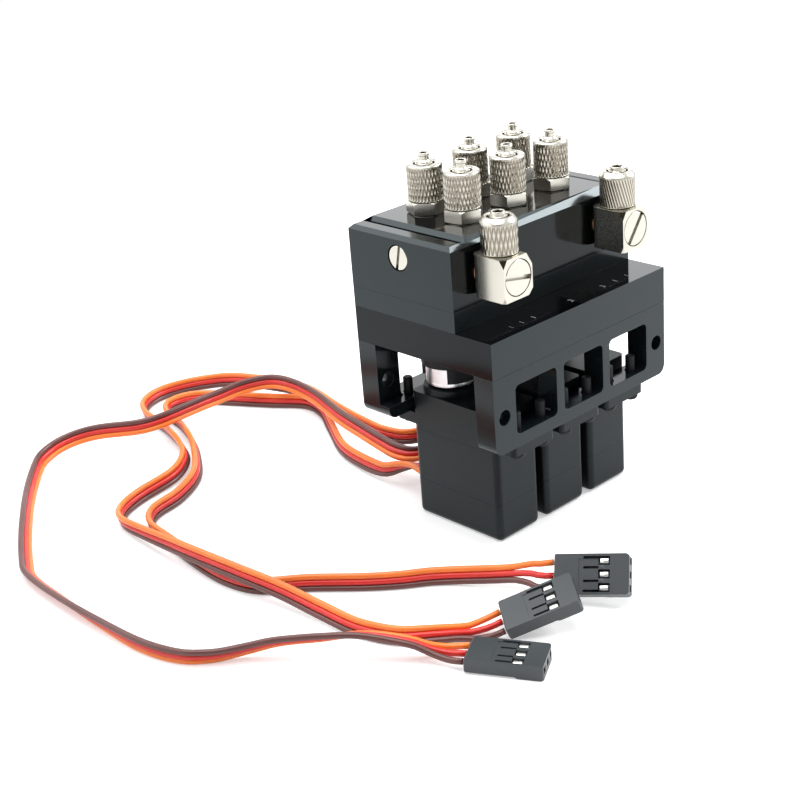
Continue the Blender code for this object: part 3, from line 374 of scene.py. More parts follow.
# %% [markdown]
# Anodised metal, nickel, steel and moulded plastic are then one call each. Black anodising is a
# hard clear skin over metal, so it renders as a dark gloss that isn't metallic. Its honed and
# polished faces are smoother. The servo cases are duller than the metal beside them.

# %% Metals, plastics and print
anodised = new_finish(
    "black anodised aluminium", (0.0060, 0.0088, 0.0098), (0.0072, 0.0102, 0.0113), 0.15, 0.012,
    0.0, WORN_BLACK, 0.5, 2500.0, 0.012, 30.0, 0.33, COOL_TINT,
)
polished = new_finish(
    "black anodised, polished", (0.0010, 0.0013, 0.0015), (0.0013, 0.0016, 0.0018), 0.045, 0.006,
    0.0, WORN_BLACK, 0.35, 2500.0, 0.004, 30.0, 0.5, FAINT_TINT,
)
honed = new_finish(
    "black anodised, honed", (0.0012, 0.0017, 0.0020), (0.0016, 0.0021, 0.0024), 0.10, 0.010,
    0.0, WORN_BLACK, 0.4, 2500.0, 0.006, 30.0, 0.20, FAINT_TINT,
)
nickel = new_finish(
    "nickel plate", (0.57, 0.55, 0.49), (0.53, 0.51, 0.45), 0.25, 0.03, 1.0,
    (0.80, 0.78, 0.72), 0.4, 1800.0, 0.012,
)
aluminium = new_finish(
    "bare aluminium", (0.74, 0.75, 0.77), (0.66, 0.67, 0.69), 0.30, 0.05, 1.0,
    (0.85, 0.86, 0.88), 0.4, 1500.0, 0.10,
)
dark_steel = new_finish(
    "blackened steel", (0.012, 0.013, 0.015), (0.017, 0.018, 0.020), 0.48, 0.05, 0.0,
    (0.05, 0.055, 0.06), 0.3, 2000.0, 0.06, 60.0, 0.15,
)
contact_tin = new_finish(
    "tinned contact", (0.88, 0.87, 0.84), (0.80, 0.79, 0.76), 0.35, 0.06, 1.0,
    (0.95, 0.95, 0.95), 0.3, 1500.0, 0.06,
)
copper = new_finish(
    "copper washer", (0.62, 0.33, 0.20), (0.50, 0.25, 0.15), 0.32, 0.08, 1.0,
    (0.80, 0.48, 0.32), 0.4, 1500.0, 0.08,
)
servo_plastic = new_finish(
    "servo case plastic", (0.0055, 0.0066, 0.0074), (0.0068, 0.0080, 0.0088), 0.36, 0.02, 0.0,
    (0.04, 0.045, 0.05), 0.3, 4000.0, 0.08, 30.0, 0.25, COOL_TINT,
)
plug_plastic = new_finish(
    "plug plastic", (0.040, 0.046, 0.050), (0.046, 0.053, 0.058), 0.36, 0.03, 0.0,
    WORN_BLACK, 0.3, 4000.0, 0.08,
)
white_print = new_finish(
    "white print", (0.26, 0.28, 0.29), (0.20, 0.22, 0.23), 0.55, 0.05, 0.0,
    (0.70, 0.70, 0.70), 0.2, 3000.0, 0.10,
)
print("metals, plastics and print")

# %% [markdown]
# The nickel is darkened where an attribute marks it: painted shade in its bores and on a
# facet, and painted shade mixed with dirt in the knurls' grooves. The wires' insulation is
# soft: a little light sinks into it and comes out close by.

# %% Painted shade, dirt and insulation
def paint_shade_and_grime(material, colour):
    """Mixes a dark colour in where the hollow attribute is set: painted shade, with dirt in
    grooves.
    """
    shader = material.node_tree.nodes["Principled BSDF"]
    worn = shader.inputs["Base Color"].links[0].from_node
    build(material.node_tree, {
        "depth": ("Attribute", {"attribute_name": "hollow"}),
        "grime": ("Mix", {"data_type": "RGBA", 7: (*colour, 1)}),
    }, """
        depth.Fac > grime.0
        worn.2 > grime.6
        grime.2 > shader.Base Color
    """, shader=shader, worn=worn)


def new_insulation(name, colour, deep_colour):
    """Soft plastic, into which a little light sinks."""
    material = new_finish(
        name, colour, deep_colour, 0.36, 0.05, 0.0, colour, 0.0, 2500.0, 0.05, 120.0
    )
    shader = material.node_tree.nodes["Principled BSDF"]
    shader.inputs["Subsurface Weight"].default_value = 0.25
    shader.inputs["Subsurface Radius"].default_value = metres((0.9, 0.4, 0.2))
    shader.inputs["Subsurface Scale"].default_value = 1.0
    return material


# Dark brown for the nickel's marked points: painted shade, mixed with dirt in the knurls.
paint_shade_and_grime(nickel, (0.15, 0.12, 0.08))
orange_wire = new_insulation("orange insulation", (0.95, 0.24, 0.035), (0.88, 0.20, 0.030))
red_wire = new_insulation("red insulation", (0.72, 0.030, 0.022), (0.64, 0.025, 0.018))
brown_wire = new_insulation("brown insulation", (0.135, 0.045, 0.038), (0.110, 0.036, 0.030))
print(f"{len(bpy.data.materials)} finishes")

# %% [markdown]
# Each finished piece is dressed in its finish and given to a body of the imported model. A piece
# that repeats is modelled once as a pattern, and each copy gets a mesh of its own.

# %% Dressing, owning and copying
def dress(piece, *finishes):
    """Gives the whole piece the first finish, and keeps any others for single faces."""
    piece.data.materials.clear()
    for finish in finishes:
        piece.data.materials.append(finish)
    return piece


def belongs(piece, body, slot, *nodes):
    """Gives the piece to its body, and hides the imported parts that it stands for. The slot is
    not used.
    """
    if nodes:
        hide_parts(*nodes)
    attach(piece, body)


def copy_piece(pattern, name, matrix, body, slot, *nodes):
    """A copy with a mesh of its own, moved to its place and given to its body."""
    twin = pattern.copy()
    twin.data = pattern.data.copy()
    twin.name = name
    bpy.context.scene.collection.objects.link(twin)
    belongs(move_mesh(twin, matrix), body, slot, *nodes)
    return twin

# %% [markdown]
# The set is a pale round floor under a world that is bright where the lens or a mirror sees it
# and dimmer as a light. Black metal and nickel get their shape from what they mirror, so the
# lamps are a few large soft panels, and two cards put a dark and a bright patch between them.

# %% Floor, world and lamps
FLOOR_RADIUS, FLOOR_HEIGHT = 0.72, -0.02 * MM
LAMP_TARGET, CARD_TARGET = Vector((0, 0, 0.03)), Vector((0, 0, 0.06))


def new_tree(data):
    """The empty node tree of a material or a world."""
    data.use_nodes = True
    data.node_tree.nodes.clear()
    return data.node_tree


def add_floor():
    select_nothing()
    bpy.ops.mesh.primitive_circle_add(
        vertices=96, radius=FLOOR_RADIUS, fill_type="NGON", location=(0, 0, FLOOR_HEIGHT)
    )
    floor = bpy.context.object
    floor.name = "floor"
    material = bpy.data.materials.new("white paper")
    build(new_tree(material), {
        "paper": ("BsdfDiffuse", {"Color": (0.80, 0.80, 0.80, 1)}),
        "lift": ("Emission", {"Strength": 0.42}),
        "both": ("AddShader", {}),
        "rays": ("LightPath", {}),
        "seen": ("Math", {"operation": "MAXIMUM"}),
        "choice": ("MixShader", {}),
        "end": ("OutputMaterial", {}),
    }, """
        paper.0 > both.0
        lift.0 > both.1
        rays.Is Camera Ray > seen.0
        rays.Is Glossy Ray > seen.1
        seen.0 > choice.0
        paper.0 > choice.1
        both.0 > choice.2
        choice.0 > end.Surface
    """)
    dress(floor, material)


def set_world():
    world = bpy.data.worlds.new("studio")
    bpy.context.scene.world = world
    build(new_tree(world), {
        "bright": ("Background", {"Color": (1, 1, 1, 1), "Strength": 1.0}),
        "dim": ("Background", {"Color": (0.93, 0.96, 1.0, 1), "Strength": 0.30}),
        "rays": ("LightPath", {}),
        "mirror": ("Math", {"operation": "MAXIMUM"}),
        "seen": ("Math", {"operation": "MAXIMUM"}),
        "choice": ("MixShader", {}),
        "end": ("OutputWorld", {}),
    }, """
        rays.Is Glossy Ray > mirror.0
        rays.Is Transmission Ray > mirror.1
        rays.Is Camera Ray > seen.0
        mirror.0 > seen.1
        seen.0 > choice.0
        dim.0 > choice.1
        bright.0 > choice.2
        choice.0 > end.Surface
    """)


def facing(place, target):
    """The turn that makes a lamp or a card at a place face its target."""
    return (Vector(place) - target).to_track_quat("Z", "Y").to_euler()


def add_panel(name, place, size, power):
    """A soft rectangular lamp."""
    select_nothing()
    bpy.ops.object.light_add(type="AREA", location=place)
    lamp = bpy.context.object
    lamp.name = name
    lamp.data.shape = "RECTANGLE"
    lamp.data.size, lamp.data.size_y = size
    lamp.data.energy = power
    lamp.visible_camera = False
    lamp.rotation_euler = facing(place, LAMP_TARGET)


def add_card(name, place, size, glow):
    """A card that only mirror-like surfaces see, dark or bright against the world."""
    select_nothing()
    bpy.ops.mesh.primitive_plane_add(size=1, location=place)
    card = bpy.context.object
    card.scale = (*size, 1)
    card.rotation_euler = facing(place, CARD_TARGET)
    keep_new(name)
    material = bpy.data.materials.new(name)
    material.use_nodes = True
    shader = material.node_tree.nodes["Principled BSDF"]
    shader.inputs["Base Color"].default_value = (0.004, 0.004, 0.004, 1)
    shader.inputs["Specular IOR Level"].default_value = 0.0
    shader.inputs["Emission Color"].default_value = (1, 1, 1, 1)
    shader.inputs["Emission Strength"].default_value = glow
    dress(card, material)
    card.visible_camera = card.visible_diffuse = card.visible_shadow = False


add_floor()
set_world()
add_panel("overhead panel", (-0.10, 0.05, 0.90), (0.9, 0.7), 9.0)
add_panel("left rear panel", (-0.70, 0.35, 0.35), (1.0, 0.8), 2.5)
add_panel("front right panel", (0.60, -0.24, 0.54), (0.36, 0.28), 5.2)
add_panel("rear card", (0.64, 0.77, 0.32), (1.1, 0.36), 1.25)
add_card("left front flag", (-0.56, -0.38, 0.42), (0.7, 0.6), 0.02)
add_card("left rear card", (-0.25, 0.65, 0.65), (0.5, 0.4), 4.0)
print("floor, world, four lamps and two cards")

# %% [markdown]
# A servo lead is three wires moulded side by side. It twists as it runs: it leaves the case
# flat, stands on its edge on the floor, and lies flat again where it enters its plug. So each
# wire is its own tube, and each follows the lead's line at a distance set by the twist there.
# The line is the imported model's, through the same points, in millimetres. Beside
# each route is its twist: the part of the way along it, and the angle in degrees.

# %% The routes of the three leads
LEAD_ROUTES = {
    "1": (
        (-14.0, 14.5, 6.0), (-13.5, 18.3, 5.8), (-14.1, 22.0, 4.6), (-15.2, 26.4, 3.0),
        (-14.0, 35.0, 2.2), (-11.6, 43.7, 2.0), (-5.2, 54.8, 1.9), (-0.6, 62.8, 1.9),
        (0.6, 70.0, 1.8), (-4.2, 78.0, 1.8), (-9.0, 86.5, 1.8), (-14.2, 94.6, 1.8),
        (-20.7, 96.2, 1.8), (-24.6, 92.2, 1.8), (-26.3, 85.1, 1.8), (-29.4, 77.0, 1.8),
        (-33.6, 69.4, 1.8), (-40.6, 60.2, 1.8), (-49.2, 54.9, 1.8), (-57.6, 52.6, 1.8),
        (-61.9, 47.8, 1.8), (-63.3, 40.1, 1.8), (-65.0, 28.1, 1.8), (-65.4, 18.1, 1.8),
        (-63.2, 10.6, 1.8), (-56.5, 4.0, 1.8), (-49.7, -4.0, 1.8), (-44.7, -9.0, 1.8),
        (-38.8, -14.0, 1.8), (-33.4, -21.8, 2.5), (-30.0, -28.6, 3.6),
    ),
    "2": (
        (0.0, 14.0, 6.0), (-3.0, 18.4, 6.0), (-10.0, 21.4, 6.1), (-11.9, 25.2, 6.5),
        (-11.6, 30.7, 7.0), (-10.6, 38.0, 7.5), (-9.3, 46.1, 8.0), (-5.2, 59.6, 8.0),
        (-2.9, 70.5, 7.3), (-3.9, 77.4, 6.9), (-9.2, 80.9, 6.5), (-16.4, 81.6, 6.3),
        (-22.4, 81.6, 6.4), (-28.5, 81.3, 6.5), (-34.1, 81.5, 6.4), (-38.9, 83.7, 6.0),
        (-44.4, 90.8, 5.0), (-48.2, 94.6, 4.0), (-52.6, 96.4, 3.0), (-57.4, 95.4, 2.4),
        (-61.2, 92.6, 2.0), (-70.2, 81.9, 1.8), (-79.8, 68.2, 1.8), (-86.9, 56.6, 1.8),
        (-89.6, 50.4, 1.8), (-90.6, 38.6, 1.8), (-91.1, 23.9, 1.8), (-90.8, 11.6, 1.8),
        (-88.5, 3.0, 1.8), (-84.6, -1.6, 1.8), (-79.6, -5.4, 2.4), (-75.6, -9.8, 3.6),
        (-70.9, -15.6, 4.4), (-65.9, -20.8, 4.6), (-61.8, -26.2, 3.8), (-58.2, -31.4, 2.4),
    ),
    "3": (
        (14.0, 14.5, 6.0), (13.0, 19.6, 6.0), (8.0, 24.6, 6.0), (1.0, 26.6, 6.0),
        (-4.6, 29.2, 6.0), (-6.4, 34.2, 6.0), (-6.3, 39.0, 6.0), (-3.2, 53.0, 5.2),
        (0.2, 67.4, 5.0), (0.4, 78.0, 4.2), (-2.4, 92.6, 3.0), (-6.8, 99.6, 2.2),
        (-12.8, 103.4, 1.8), (-19.4, 104.0, 1.8), (-25.0, 101.2, 1.8), (-28.2, 95.6, 1.8),
        (-30.2, 85.6, 2.0), (-34.0, 74.6, 2.4), (-37.9, 67.8, 2.4), (-44.6, 63.2, 2.2),
        (-54.7, 61.6, 1.8), (-61.6, 58.6, 1.8), (-65.0, 53.6, 2.2), (-65.8, 45.0, 2.9),
        (-66.3, 35.0, 3.9), (-66.7, 26.0, 4.7), (-65.6, 13.8, 4.6), (-63.6, 3.9, 3.5),
        (-62.5, -6.0, 2.5), (-61.4, -15.2, 1.8), (-58.6, -22.8, 1.6), (-53.6, -27.6, 1.5),
        (-48.6, -31.4, 1.4),
    ),
}
LEAD_TWISTS = {
    "1": ((0.0, 180), (0.08, 80), (0.40, 75), (0.55, 66), (0.75, 100), (0.93, 110), (1.0, 131)),
    "2": ((0.0, 180), (0.10, 250), (0.30, 262), (0.55, 240), (0.68, 225), (0.80, 258),
          (0.90, 225), (0.96, 190), (1.0, 180)),
    "3": ((0.0, 180), (0.08, 80), (0.40, 75), (0.60, 66), (0.78, 100), (0.93, 120), (1.0, 168)),
}
PLUG_PLACES = {
    "1": ((-27.0, -33.2, 3.1), (-61.0, 6.0, 49.0)),
    "2": ((-55.0, -36.7, 0.4), (-61.0, 0.0, 0.0)),
    "3": ((-43.2, -35.0, 1.1), (-41.0, 20.0, 12.0)),
}
print(sum(len(route) for route in LEAD_ROUTES.values()), "points on three routes")

# %% [markdown]
# A Catmull-Rom curve passes through every point that it is given, so a route needs few of them.
# It is then cut into even steps. Each end of it is fixed: it starts at the servo's outlet, and
# it ends inside its plug, whose place and turns are given beside it.

# %% Curves through the routes
SERVO_X = {"1": -14.04, "2": 0.0, "3": 14.04}
LEAD_EXIT = (11.61, 6.0)
LEAD_SPACING, CURVE_STEPS = 1.5, 24
PLUG_HALF_THICKNESS = 1.3


def plug_matrix(channel):
    """The place of a plug: its rear end's foot, then its turns about Z, Y and X."""
    place, (yaw, pitch, roll) = PLUG_PLACES[channel]
    matrix = placed(*place, math.radians(yaw))
    matrix = matrix @ Matrix.Rotation(-math.radians(pitch), 4, "Y")
    return matrix @ Matrix.Rotation(math.radians(roll), 4, "X")


def length_of(line):
    return sum((end - start).length for start, end in zip(line, line[1:]))


def smooth_line(points, spacing):
    """Evenly spaced points on a Catmull-Rom curve through the given ones, and its length."""
    padded = [2 * points[0] - points[1]] + points + [2 * points[-1] - points[-2]]
    fine = []
    for before, start, end, after in zip(padded, padded[1:], padded[2:], padded[3:]):
        for step in range(CURVE_STEPS):
            t = step / CURVE_STEPS
            fine.append(0.5 * (
                2 * start
                + (end - before) * t
                + (2 * before - 5 * start + 4 * end - after) * t ** 2
                + (3 * start - before - 3 * end + after) * t ** 3
            ))
    fine.append(points[-1])
    lengths = [0.0]
    for start, end in zip(fine, fine[1:]):
        lengths.append(lengths[-1] + (end - start).length)
    count = round(lengths[-1] / spacing)
    even = []
    position = 0
    for step in range(count + 1):
        wanted = lengths[-1] * step / count
        while position < len(fine) - 2 and lengths[position + 1] < wanted:
            position += 1
        share = (wanted - lengths[position]) / (lengths[position + 1] - lengths[position])
        even.append(fine[position].lerp(fine[position + 1], share))
    return even, lengths[-1]


def lead_line(channel):
    """The middle line of a lead, from the servo to inside its plug, and its length."""
    start = metres((SERVO_X[channel], *LEAD_EXIT))
    route = [start, start + metres((0, 2.4, 0))]
    route += [metres(point) for point in LEAD_ROUTES[channel]]
    route += [plug_matrix(channel) @ metres((x, 0, PLUG_HALF_THICKNESS)) for x in (-2.7, -0.3)]
    return smooth_line(route, LEAD_SPACING * MM)

# %% [markdown]
# The wires are rings of points joined by faces. Each step finds the lead's direction, turns the
# line across it by the twist, and puts one ring to either side of the middle one. A stretch
# that lies low is set down on the floor, and the wires fan out just before the plug.

# %% Three wires to a lead
LIFT_START, LIFT_END = 1.8, 3.2
WIRE_RADIUS, WIRE_PITCH, WIRE_SIDES = 0.62, 1.18, 12
CONTACT_PITCH, FAN_LENGTH = 2.54, 9.0


def clamp(value):
    return min(1.0, max(0.0, value))


def ease(value):
    """Goes from 0 to 1 with a soft start and a soft end."""
    t = clamp(value)
    return t * t * (3 - 2 * t)


def twist_at(channel, share):
    """The angle of a lead at a part of the way along it, eased between the table's rows."""
    rows = LEAD_TWISTS[channel]
    for (low, first), (high, second) in zip(rows, rows[1:]):
        if share <= high:
            return math.radians(first + (second - first) * ease((share - low) / (high - low)))


def wire_rings(channel, wire):
    """The rings of points round one wire, 1, 0 or -1 across the lead, and the lead's middle."""
    line, length = lead_line(channel)
    last = len(line) - 1
    rings, middles = [], []
    for index, point in enumerate(line):
        ahead = line[min(index + 1, last)] - line[max(index - 1, 0)]
        ahead.normalize()
        side = ahead.cross(Vector((0, 0, 1))).normalized()
        over = side.cross(ahead)
        twist = twist_at(channel, index / last)
        across = side * math.cos(twist) + over * math.sin(twist)
        fan = ease(1 - (1 - index / last) * length / MM / FAN_LENGTH)
        pitch = WIRE_PITCH + (CONTACT_PITCH - WIRE_PITCH) * fan
        lay = clamp((LIFT_END - point.z / MM) / (LIFT_END - LIFT_START)) * (1 - fan)
        rest = WIRE_RADIUS + WIRE_PITCH * abs(math.sin(twist))
        height = max(rest * lay * MM, point.z + lay * (rest - LIFT_START) * MM)
        middle = Vector((point.x, point.y, height))
        middles.append(middle)
        ring = []
        for corner in range(WIRE_SIDES):
            angle = 2 * math.pi * corner / WIRE_SIDES
            reach = across * math.cos(angle) + across.cross(ahead) * math.sin(angle)
            ring.append(middle + across * wire * pitch * MM + reach * WIRE_RADIUS * MM)
        rings.append(ring)
    return rings, middles


def add_lead(channel):
    """Three tubes in one mesh, each with its own colour."""
    mesh = bmesh.new()
    for colour, wire in enumerate((1, 0, -1)):
        places, middles = wire_rings(channel, wire)
        rings = [[mesh.verts.new(place) for place in ring] for ring in places]
        for first, second in zip(rings, rings[1:]):
            for corner in range(WIRE_SIDES):
                after = (corner + 1) % WIRE_SIDES
                face = mesh.faces.new(
                    (first[corner], first[after], second[after], second[corner])
                )
                face.material_index = colour
                face.smooth = True
        for ring in (rings[0], rings[-1]):
            mesh.faces.new(ring).material_index = colour
    bmesh.ops.recalc_face_normals(mesh, faces=mesh.faces)
    name = f"lead_ribbon_{channel}"
    lead = bpy.data.objects.new(name, bpy.data.meshes.new(name))
    bpy.context.scene.collection.objects.link(lead)
    dress(lead, orange_wire, red_wire, brown_wire)
    mesh.to_mesh(lead.data)
    mesh.free()
    belongs(lead, "frame", "wire_insulation", f"servo_lead_{channel}")
    return lead, middles


leads = {channel: add_lead(channel) for channel in SERVO_X}
for channel, (lead, middles) in leads.items():
    print(f"lead {channel} is {length_of(middles) / MM:.0f} mm long")

# %% [markdown]
# A servo plug is one moulding that holds three crimped contacts. Each contact is kept in by a
# sprung tongue, cut free by slots beside it, and shows bright in the window at the tongue's
# end. The plug is modelled once, lying with its rear end at the origin, and then copied to the
# end of each lead.

# %% Plugs and the cords they end
PLUG_LENGTH, PLUG_WIDTH, PLUG_THICKNESS = 14.2, 7.7, 2.6
LIP_START, LIP_END, LIP_DROP = 9.0, 9.6, 0.3
WINDOW_START, WINDOW_END = 8.4, 10.6
TONGUE_START = 5.6
CONTACT_ROWS = (-CONTACT_PITCH, 0, CONTACT_PITCH)


def cut_box(piece, low, high):
    """Mills a box out of the piece."""
    return boolean(piece, new_box("cutter", low, high))


def add_plug():
    side = PLUG_WIDTH / 2
    plug = new_box("plug", (0, -side, 0), (PLUG_LENGTH, side, PLUG_THICKNESS))
    for x in (LIP_START, LIP_END):
        open_edit(plug)
        bpy.ops.mesh.bisect(plane_co=(x * MM, 0, 0), plane_no=(1, 0, 0))
        close_edit()
    select(plug, "VERT", lambda p: p.x > LIP_END - 0.1 and p.z < 0.1)
    bpy.ops.transform.translate(value=(0, 0, -LIP_DROP * MM))
    close_edit()
    round_edges(plug, 0.7, 4, lambda a, b: near(a.x, PLUG_LENGTH) and near(b.x, PLUG_LENGTH)
                and near(a.y, b.y))
    round_edges(plug, 0.35, 3, lambda a, b: near(a.x, 0) and near(b.x, 0))
    for y in CONTACT_ROWS:
        cut_box(plug, (PLUG_LENGTH - 7, y - 0.65, 0.65), (PLUG_LENGTH + 1, y + 0.65, 1.95))
        cut_box(plug, (WINDOW_START, y - 0.85, 1.2), (WINDOW_END, y + 0.85, 3))
        cut_box(plug, (-1, y - 0.75, 0.55), (0.8, y + 0.75, 2.05))
    for y in (-3.15, -1.27, 1.27, 3.15):
        cut_box(plug, (TONGUE_START, y - 0.24, 1.5), (WINDOW_START + 0.1, y + 0.24, 3))
    cut_box(plug, (TONGUE_START - 0.9, -2.9, 2.48), (WINDOW_START + 0.1, 2.9, 3))
    return dress(soften(plug, 0.12), plug_plastic)


def add_contacts():
    """Three bent tongues of tinned strip in one piece."""
    strips = []
    for y in CONTACT_ROWS:
        low, high = (WINDOW_START + 0.1, y - 0.62, 1.25), (WINDOW_END - 0.15, y + 0.62, 2.42)
        strip = new_box("contact", low, high)
        strips.append(round_edges(strip, 0.5, 5, lambda a, b: a.z > 2 and b.z > 2))
    only(strips[0])
    for strip in strips[1:]:
        strip.select_set(True)
    bpy.ops.object.join()
    bpy.ops.object.shade_smooth_by_angle(angle=math.radians(50))
    return dress(strips[0], contact_tin)


plug_pattern, contact_pattern = add_plug(), add_contacts()
for channel, (lead, middles) in leads.items():
    place = plug_matrix(channel)
    plug = copy_piece(plug_pattern, f"plug_{channel}", place, "frame", "black_plastic",
                      f"servo_plug_{channel}")
    contacts = copy_piece(contact_pattern, f"plug_contacts_{channel}", place, "frame",
                          "nickel_plate")
remove(plug_pattern, contact_pattern)
print("three plugs, each with three sockets and three contacts")

# %% [markdown]
# The block and its bracket are milled from bar. An outline is drawn in one plane and pulled
# through the bar's depth; cutters then take out the windows and the holes, as a milling cutter
# would. A chamfer is a flat cut, so Bisect makes it, and fills the cut face.

# %% Outlines, holes and chamfers
def new_outline(name, corners, low, high, axis):
    """Pulls a flat outline from low to high along an axis."""
    direction = "XYZ".index(axis)
    select_nothing()
    bpy.ops.mesh.primitive_circle_add(vertices=len(corners), fill_type="NGON")
    piece = bpy.context.object
    piece.name = name
    for point, corner in zip(piece.data.vertices, corners):
        place = list(corner)
        place.insert(direction, low)
        point.co = metres(place)
    pull = Vector((0, 0, 0))
    pull[direction] = (high - low) * MM
    open_edit(piece)
    bpy.ops.mesh.extrude_region_move(TRANSFORM_OT_translate={"value": pull})
    face_outwards()
    return piece


def drill(piece, radius, start, end, sides=40):
    """Bores a round hole from start to end."""
    start, end = metres(start), metres(end)
    tool = new_turned("drill", [(radius, 0), (radius, (end - start).length / MM)], sides)
    turn = (end - start).to_track_quat("Z", "Y").to_matrix().to_4x4()
    return boolean(piece, move_mesh(tool, Matrix.Translation(start) @ turn))


def chamfer(piece, point, direction):
    """Cuts off all that lies past a plane."""
    open_edit(piece)
    bpy.ops.mesh.bisect(
        plane_co=metres(point), plane_no=direction, use_fill=True, clear_outer=True
    )
    close_edit()


def refinish(piece, index, test):
    """Gives the faces that pass the test another of the piece's finishes."""
    for face in piece.data.polygons:
        if test(face.center / MM, face.normal):
            face.material_index = index


def is_upright(a, b):
    return near(a.x, b.x) and near(a.y, b.y)

# %% [markdown]
# The block's outline is that of its ends: a low cap on either side of the raised deck, with a
# groove beside it. The outline slopes at the deck's two ends, and a chamfer does the same at
# the front and the rear. Anodised faces differ in gloss. The tops are polished, and the block's
# front and the top plate's ends are honed, so these faces get a finish of their own.

# %% Valve block and its two plates
HALF = 26.0
VALVE_Y = 4.55
BLOCK_FRONT, BLOCK_REAR, BRACKET_FRONT = -9.25, 18.35, -18.35
BLOCK_LOW, DECK = 50.33, 63.5
CAP_TOP, GROOVE_Z = 62.95, 62.1
GROOVE_X, GROOVE_STEP = 21.9, 0.55
CAP_CHAMFER, DECK_CHAMFER = 0.8, 1.4
GALLERY_Y, GALLERY_Z = 4.9, 58.5
FITTING_X = (-12.86, 0.0, 12.86)
FITTING_Y = {"front": -0.45, "rear": 9.55}
ELBOW_X, BOLT_Z = 17.35, 56.6
BORE, FITTING_BORE, BOLT_BORE, GALLERY_BORE = 3.0, 2.0, 2.1, 2.65


def add_block():
    shoulder = [
        (HALF, BLOCK_LOW), (HALF, CAP_TOP - CAP_CHAMFER), (HALF - CAP_CHAMFER, CAP_TOP),
        (GROOVE_X + CAP_TOP - GROOVE_Z, CAP_TOP), (GROOVE_X, GROOVE_Z),
        (GROOVE_X - GROOVE_STEP, GROOVE_Z), (GROOVE_X - GROOVE_STEP, GROOVE_Z + GROOVE_STEP),
        (GROOVE_X - DECK_CHAMFER, DECK),
    ]
    outline = shoulder + [(-x, z) for x, z in reversed(shoulder)]
    block = new_outline("block", outline, BLOCK_FRONT, BLOCK_REAR, "Y")
    for y, outwards in ((BLOCK_FRONT, -1), (BLOCK_REAR, 1)):
        chamfer(block, (0, y, DECK - DECK_CHAMFER), (0, outwards, 1))
    for x in SERVO_X.values():
        drill(block, BORE, (x, VALVE_Y, BLOCK_LOW - 1), (x, VALVE_Y, 59.5))
    for x in FITTING_X:
        for y in FITTING_Y.values():
            drill(block, FITTING_BORE, (x, y, DECK - 2.9), (x, y, DECK + 1))
    for x in (-ELBOW_X, ELBOW_X):
        drill(block, BOLT_BORE, (x, BLOCK_FRONT - 1, BOLT_Z), (x, BLOCK_FRONT + 4.8, BOLT_Z))
    start, end = (-HALF - 1, GALLERY_Y, GALLERY_Z), (-HALF + 4.6, GALLERY_Y, GALLERY_Z)
    drill(block, GALLERY_BORE, start, end)
    dress(soften(block, 0.10), anodised, polished, honed)
    refinish(block, 1, lambda p, n: n.z > 0.9 and p.z > DECK - 0.2)
    refinish(block, 2, lambda p, n: n.y < -0.9)
    belongs(block, "frame", "black_anodised", "valve_block")


def add_plate(name, front, low, high, node, ends):
    plate = new_box(name, (-HALF, front, low), (HALF, BLOCK_REAR, high))
    for x in SERVO_X.values():
        drill(plate, BORE, (x, VALVE_Y, low - 1), (x, VALVE_Y, high + 1))
    dress(soften(plate, 0.08), anodised, polished, ends)
    refinish(plate, 1, lambda p, n: n.z > 0.9)
    refinish(plate, 2, lambda p, n: abs(n.x) > 0.9)
    belongs(plate, "frame", "black_anodised", node)


LEDGE_Z = 46.10
add_block()
add_plate("base_plate", BLOCK_FRONT, 46.13, 50.30, "valve_base_plate", anodised)
add_plate("top_plate", BRACKET_FRONT, 38.75, LEDGE_Z, "bracket_top_plate", honed)
print("block and two plates")

# %% [markdown]
# The two walls of the bracket are alike: a window for each servo, a rail under the windows that
# takes the servo screws, and a hole near each end. Only the rear wall has a lip inside.

# %% Bracket walls
WALL_LOW, WALL_HIGH, WALL_DEPTH = 23.0, 38.72, 4.9
RAIL_TOP, WINDOW_TOP, WINDOW_HALF = 25.65, 35.78, 5.93
SCREW_SIDE, SCREW_BORE = 3.55, 1.15
SCREW_Y = {"front": -15.89, "rear": 13.71}
END_HOLE_X, END_HOLE_Z, END_HOLE_RADIUS = 23.2, 30.4, 1.55
FOOT_ROUND = 2.0


def is_foot(a, b):
    """Tells the edges along a wall's lower left and lower right corners."""
    return near(a.z, WALL_LOW) and near(b.z, WALL_LOW) and near(abs(a.x), HALF) and near(a.x, b.x)


def add_wall(name, front, screw_y, lip, node):
    rear = front + WALL_DEPTH
    wall = new_box(name, (-HALF, front, WALL_LOW), (HALF, rear, WALL_HIGH))
    round_edges(wall, FOOT_ROUND, 8, is_foot)
    if lip:
        foot = new_box("lip", (-HALF, front - lip, WALL_LOW), (HALF, front, RAIL_TOP))
        boolean(wall, round_edges(foot, FOOT_ROUND, 8, is_foot), "UNION")
    for x in SERVO_X.values():
        window = new_box("window", (x - WINDOW_HALF, front - 1, RAIL_TOP),
                         (x + WINDOW_HALF, rear + 1, WINDOW_TOP))
        round_edges(window, 1.1, 6, lambda a, b: near(a.x, b.x) and near(a.z, b.z))
        boolean(wall, window)
        for screw_x in (x - SCREW_SIDE, x + SCREW_SIDE):
            start, end = (screw_x, screw_y, WALL_LOW - 1), (screw_x, screw_y, RAIL_TOP + 0.2)
            drill(wall, SCREW_BORE, start, end, 20)
    for x in (-END_HOLE_X, END_HOLE_X):
        drill(wall, END_HOLE_RADIUS, (x, front - 1, END_HOLE_Z), (x, rear + 1, END_HOLE_Z))
    belongs(dress(soften(wall, 0.08), anodised), "frame", "black_anodised", node)


add_wall("front_wall", BRACKET_FRONT, SCREW_Y["front"], 0, "bracket_front_wall")
add_wall("rear_wall", 13.45, SCREW_Y["rear"], 2.7, "bracket_rear_wall")
print("two walls with six windows")

# %% [markdown]
# A servo case is three mouldings held by long screws, so it shows two fine seams. The lowest
# part has broad rounded edges, the middle one is plain, and the top one carries the two tabs and
# the round tower. The case is modelled once and copied for the other two channels.

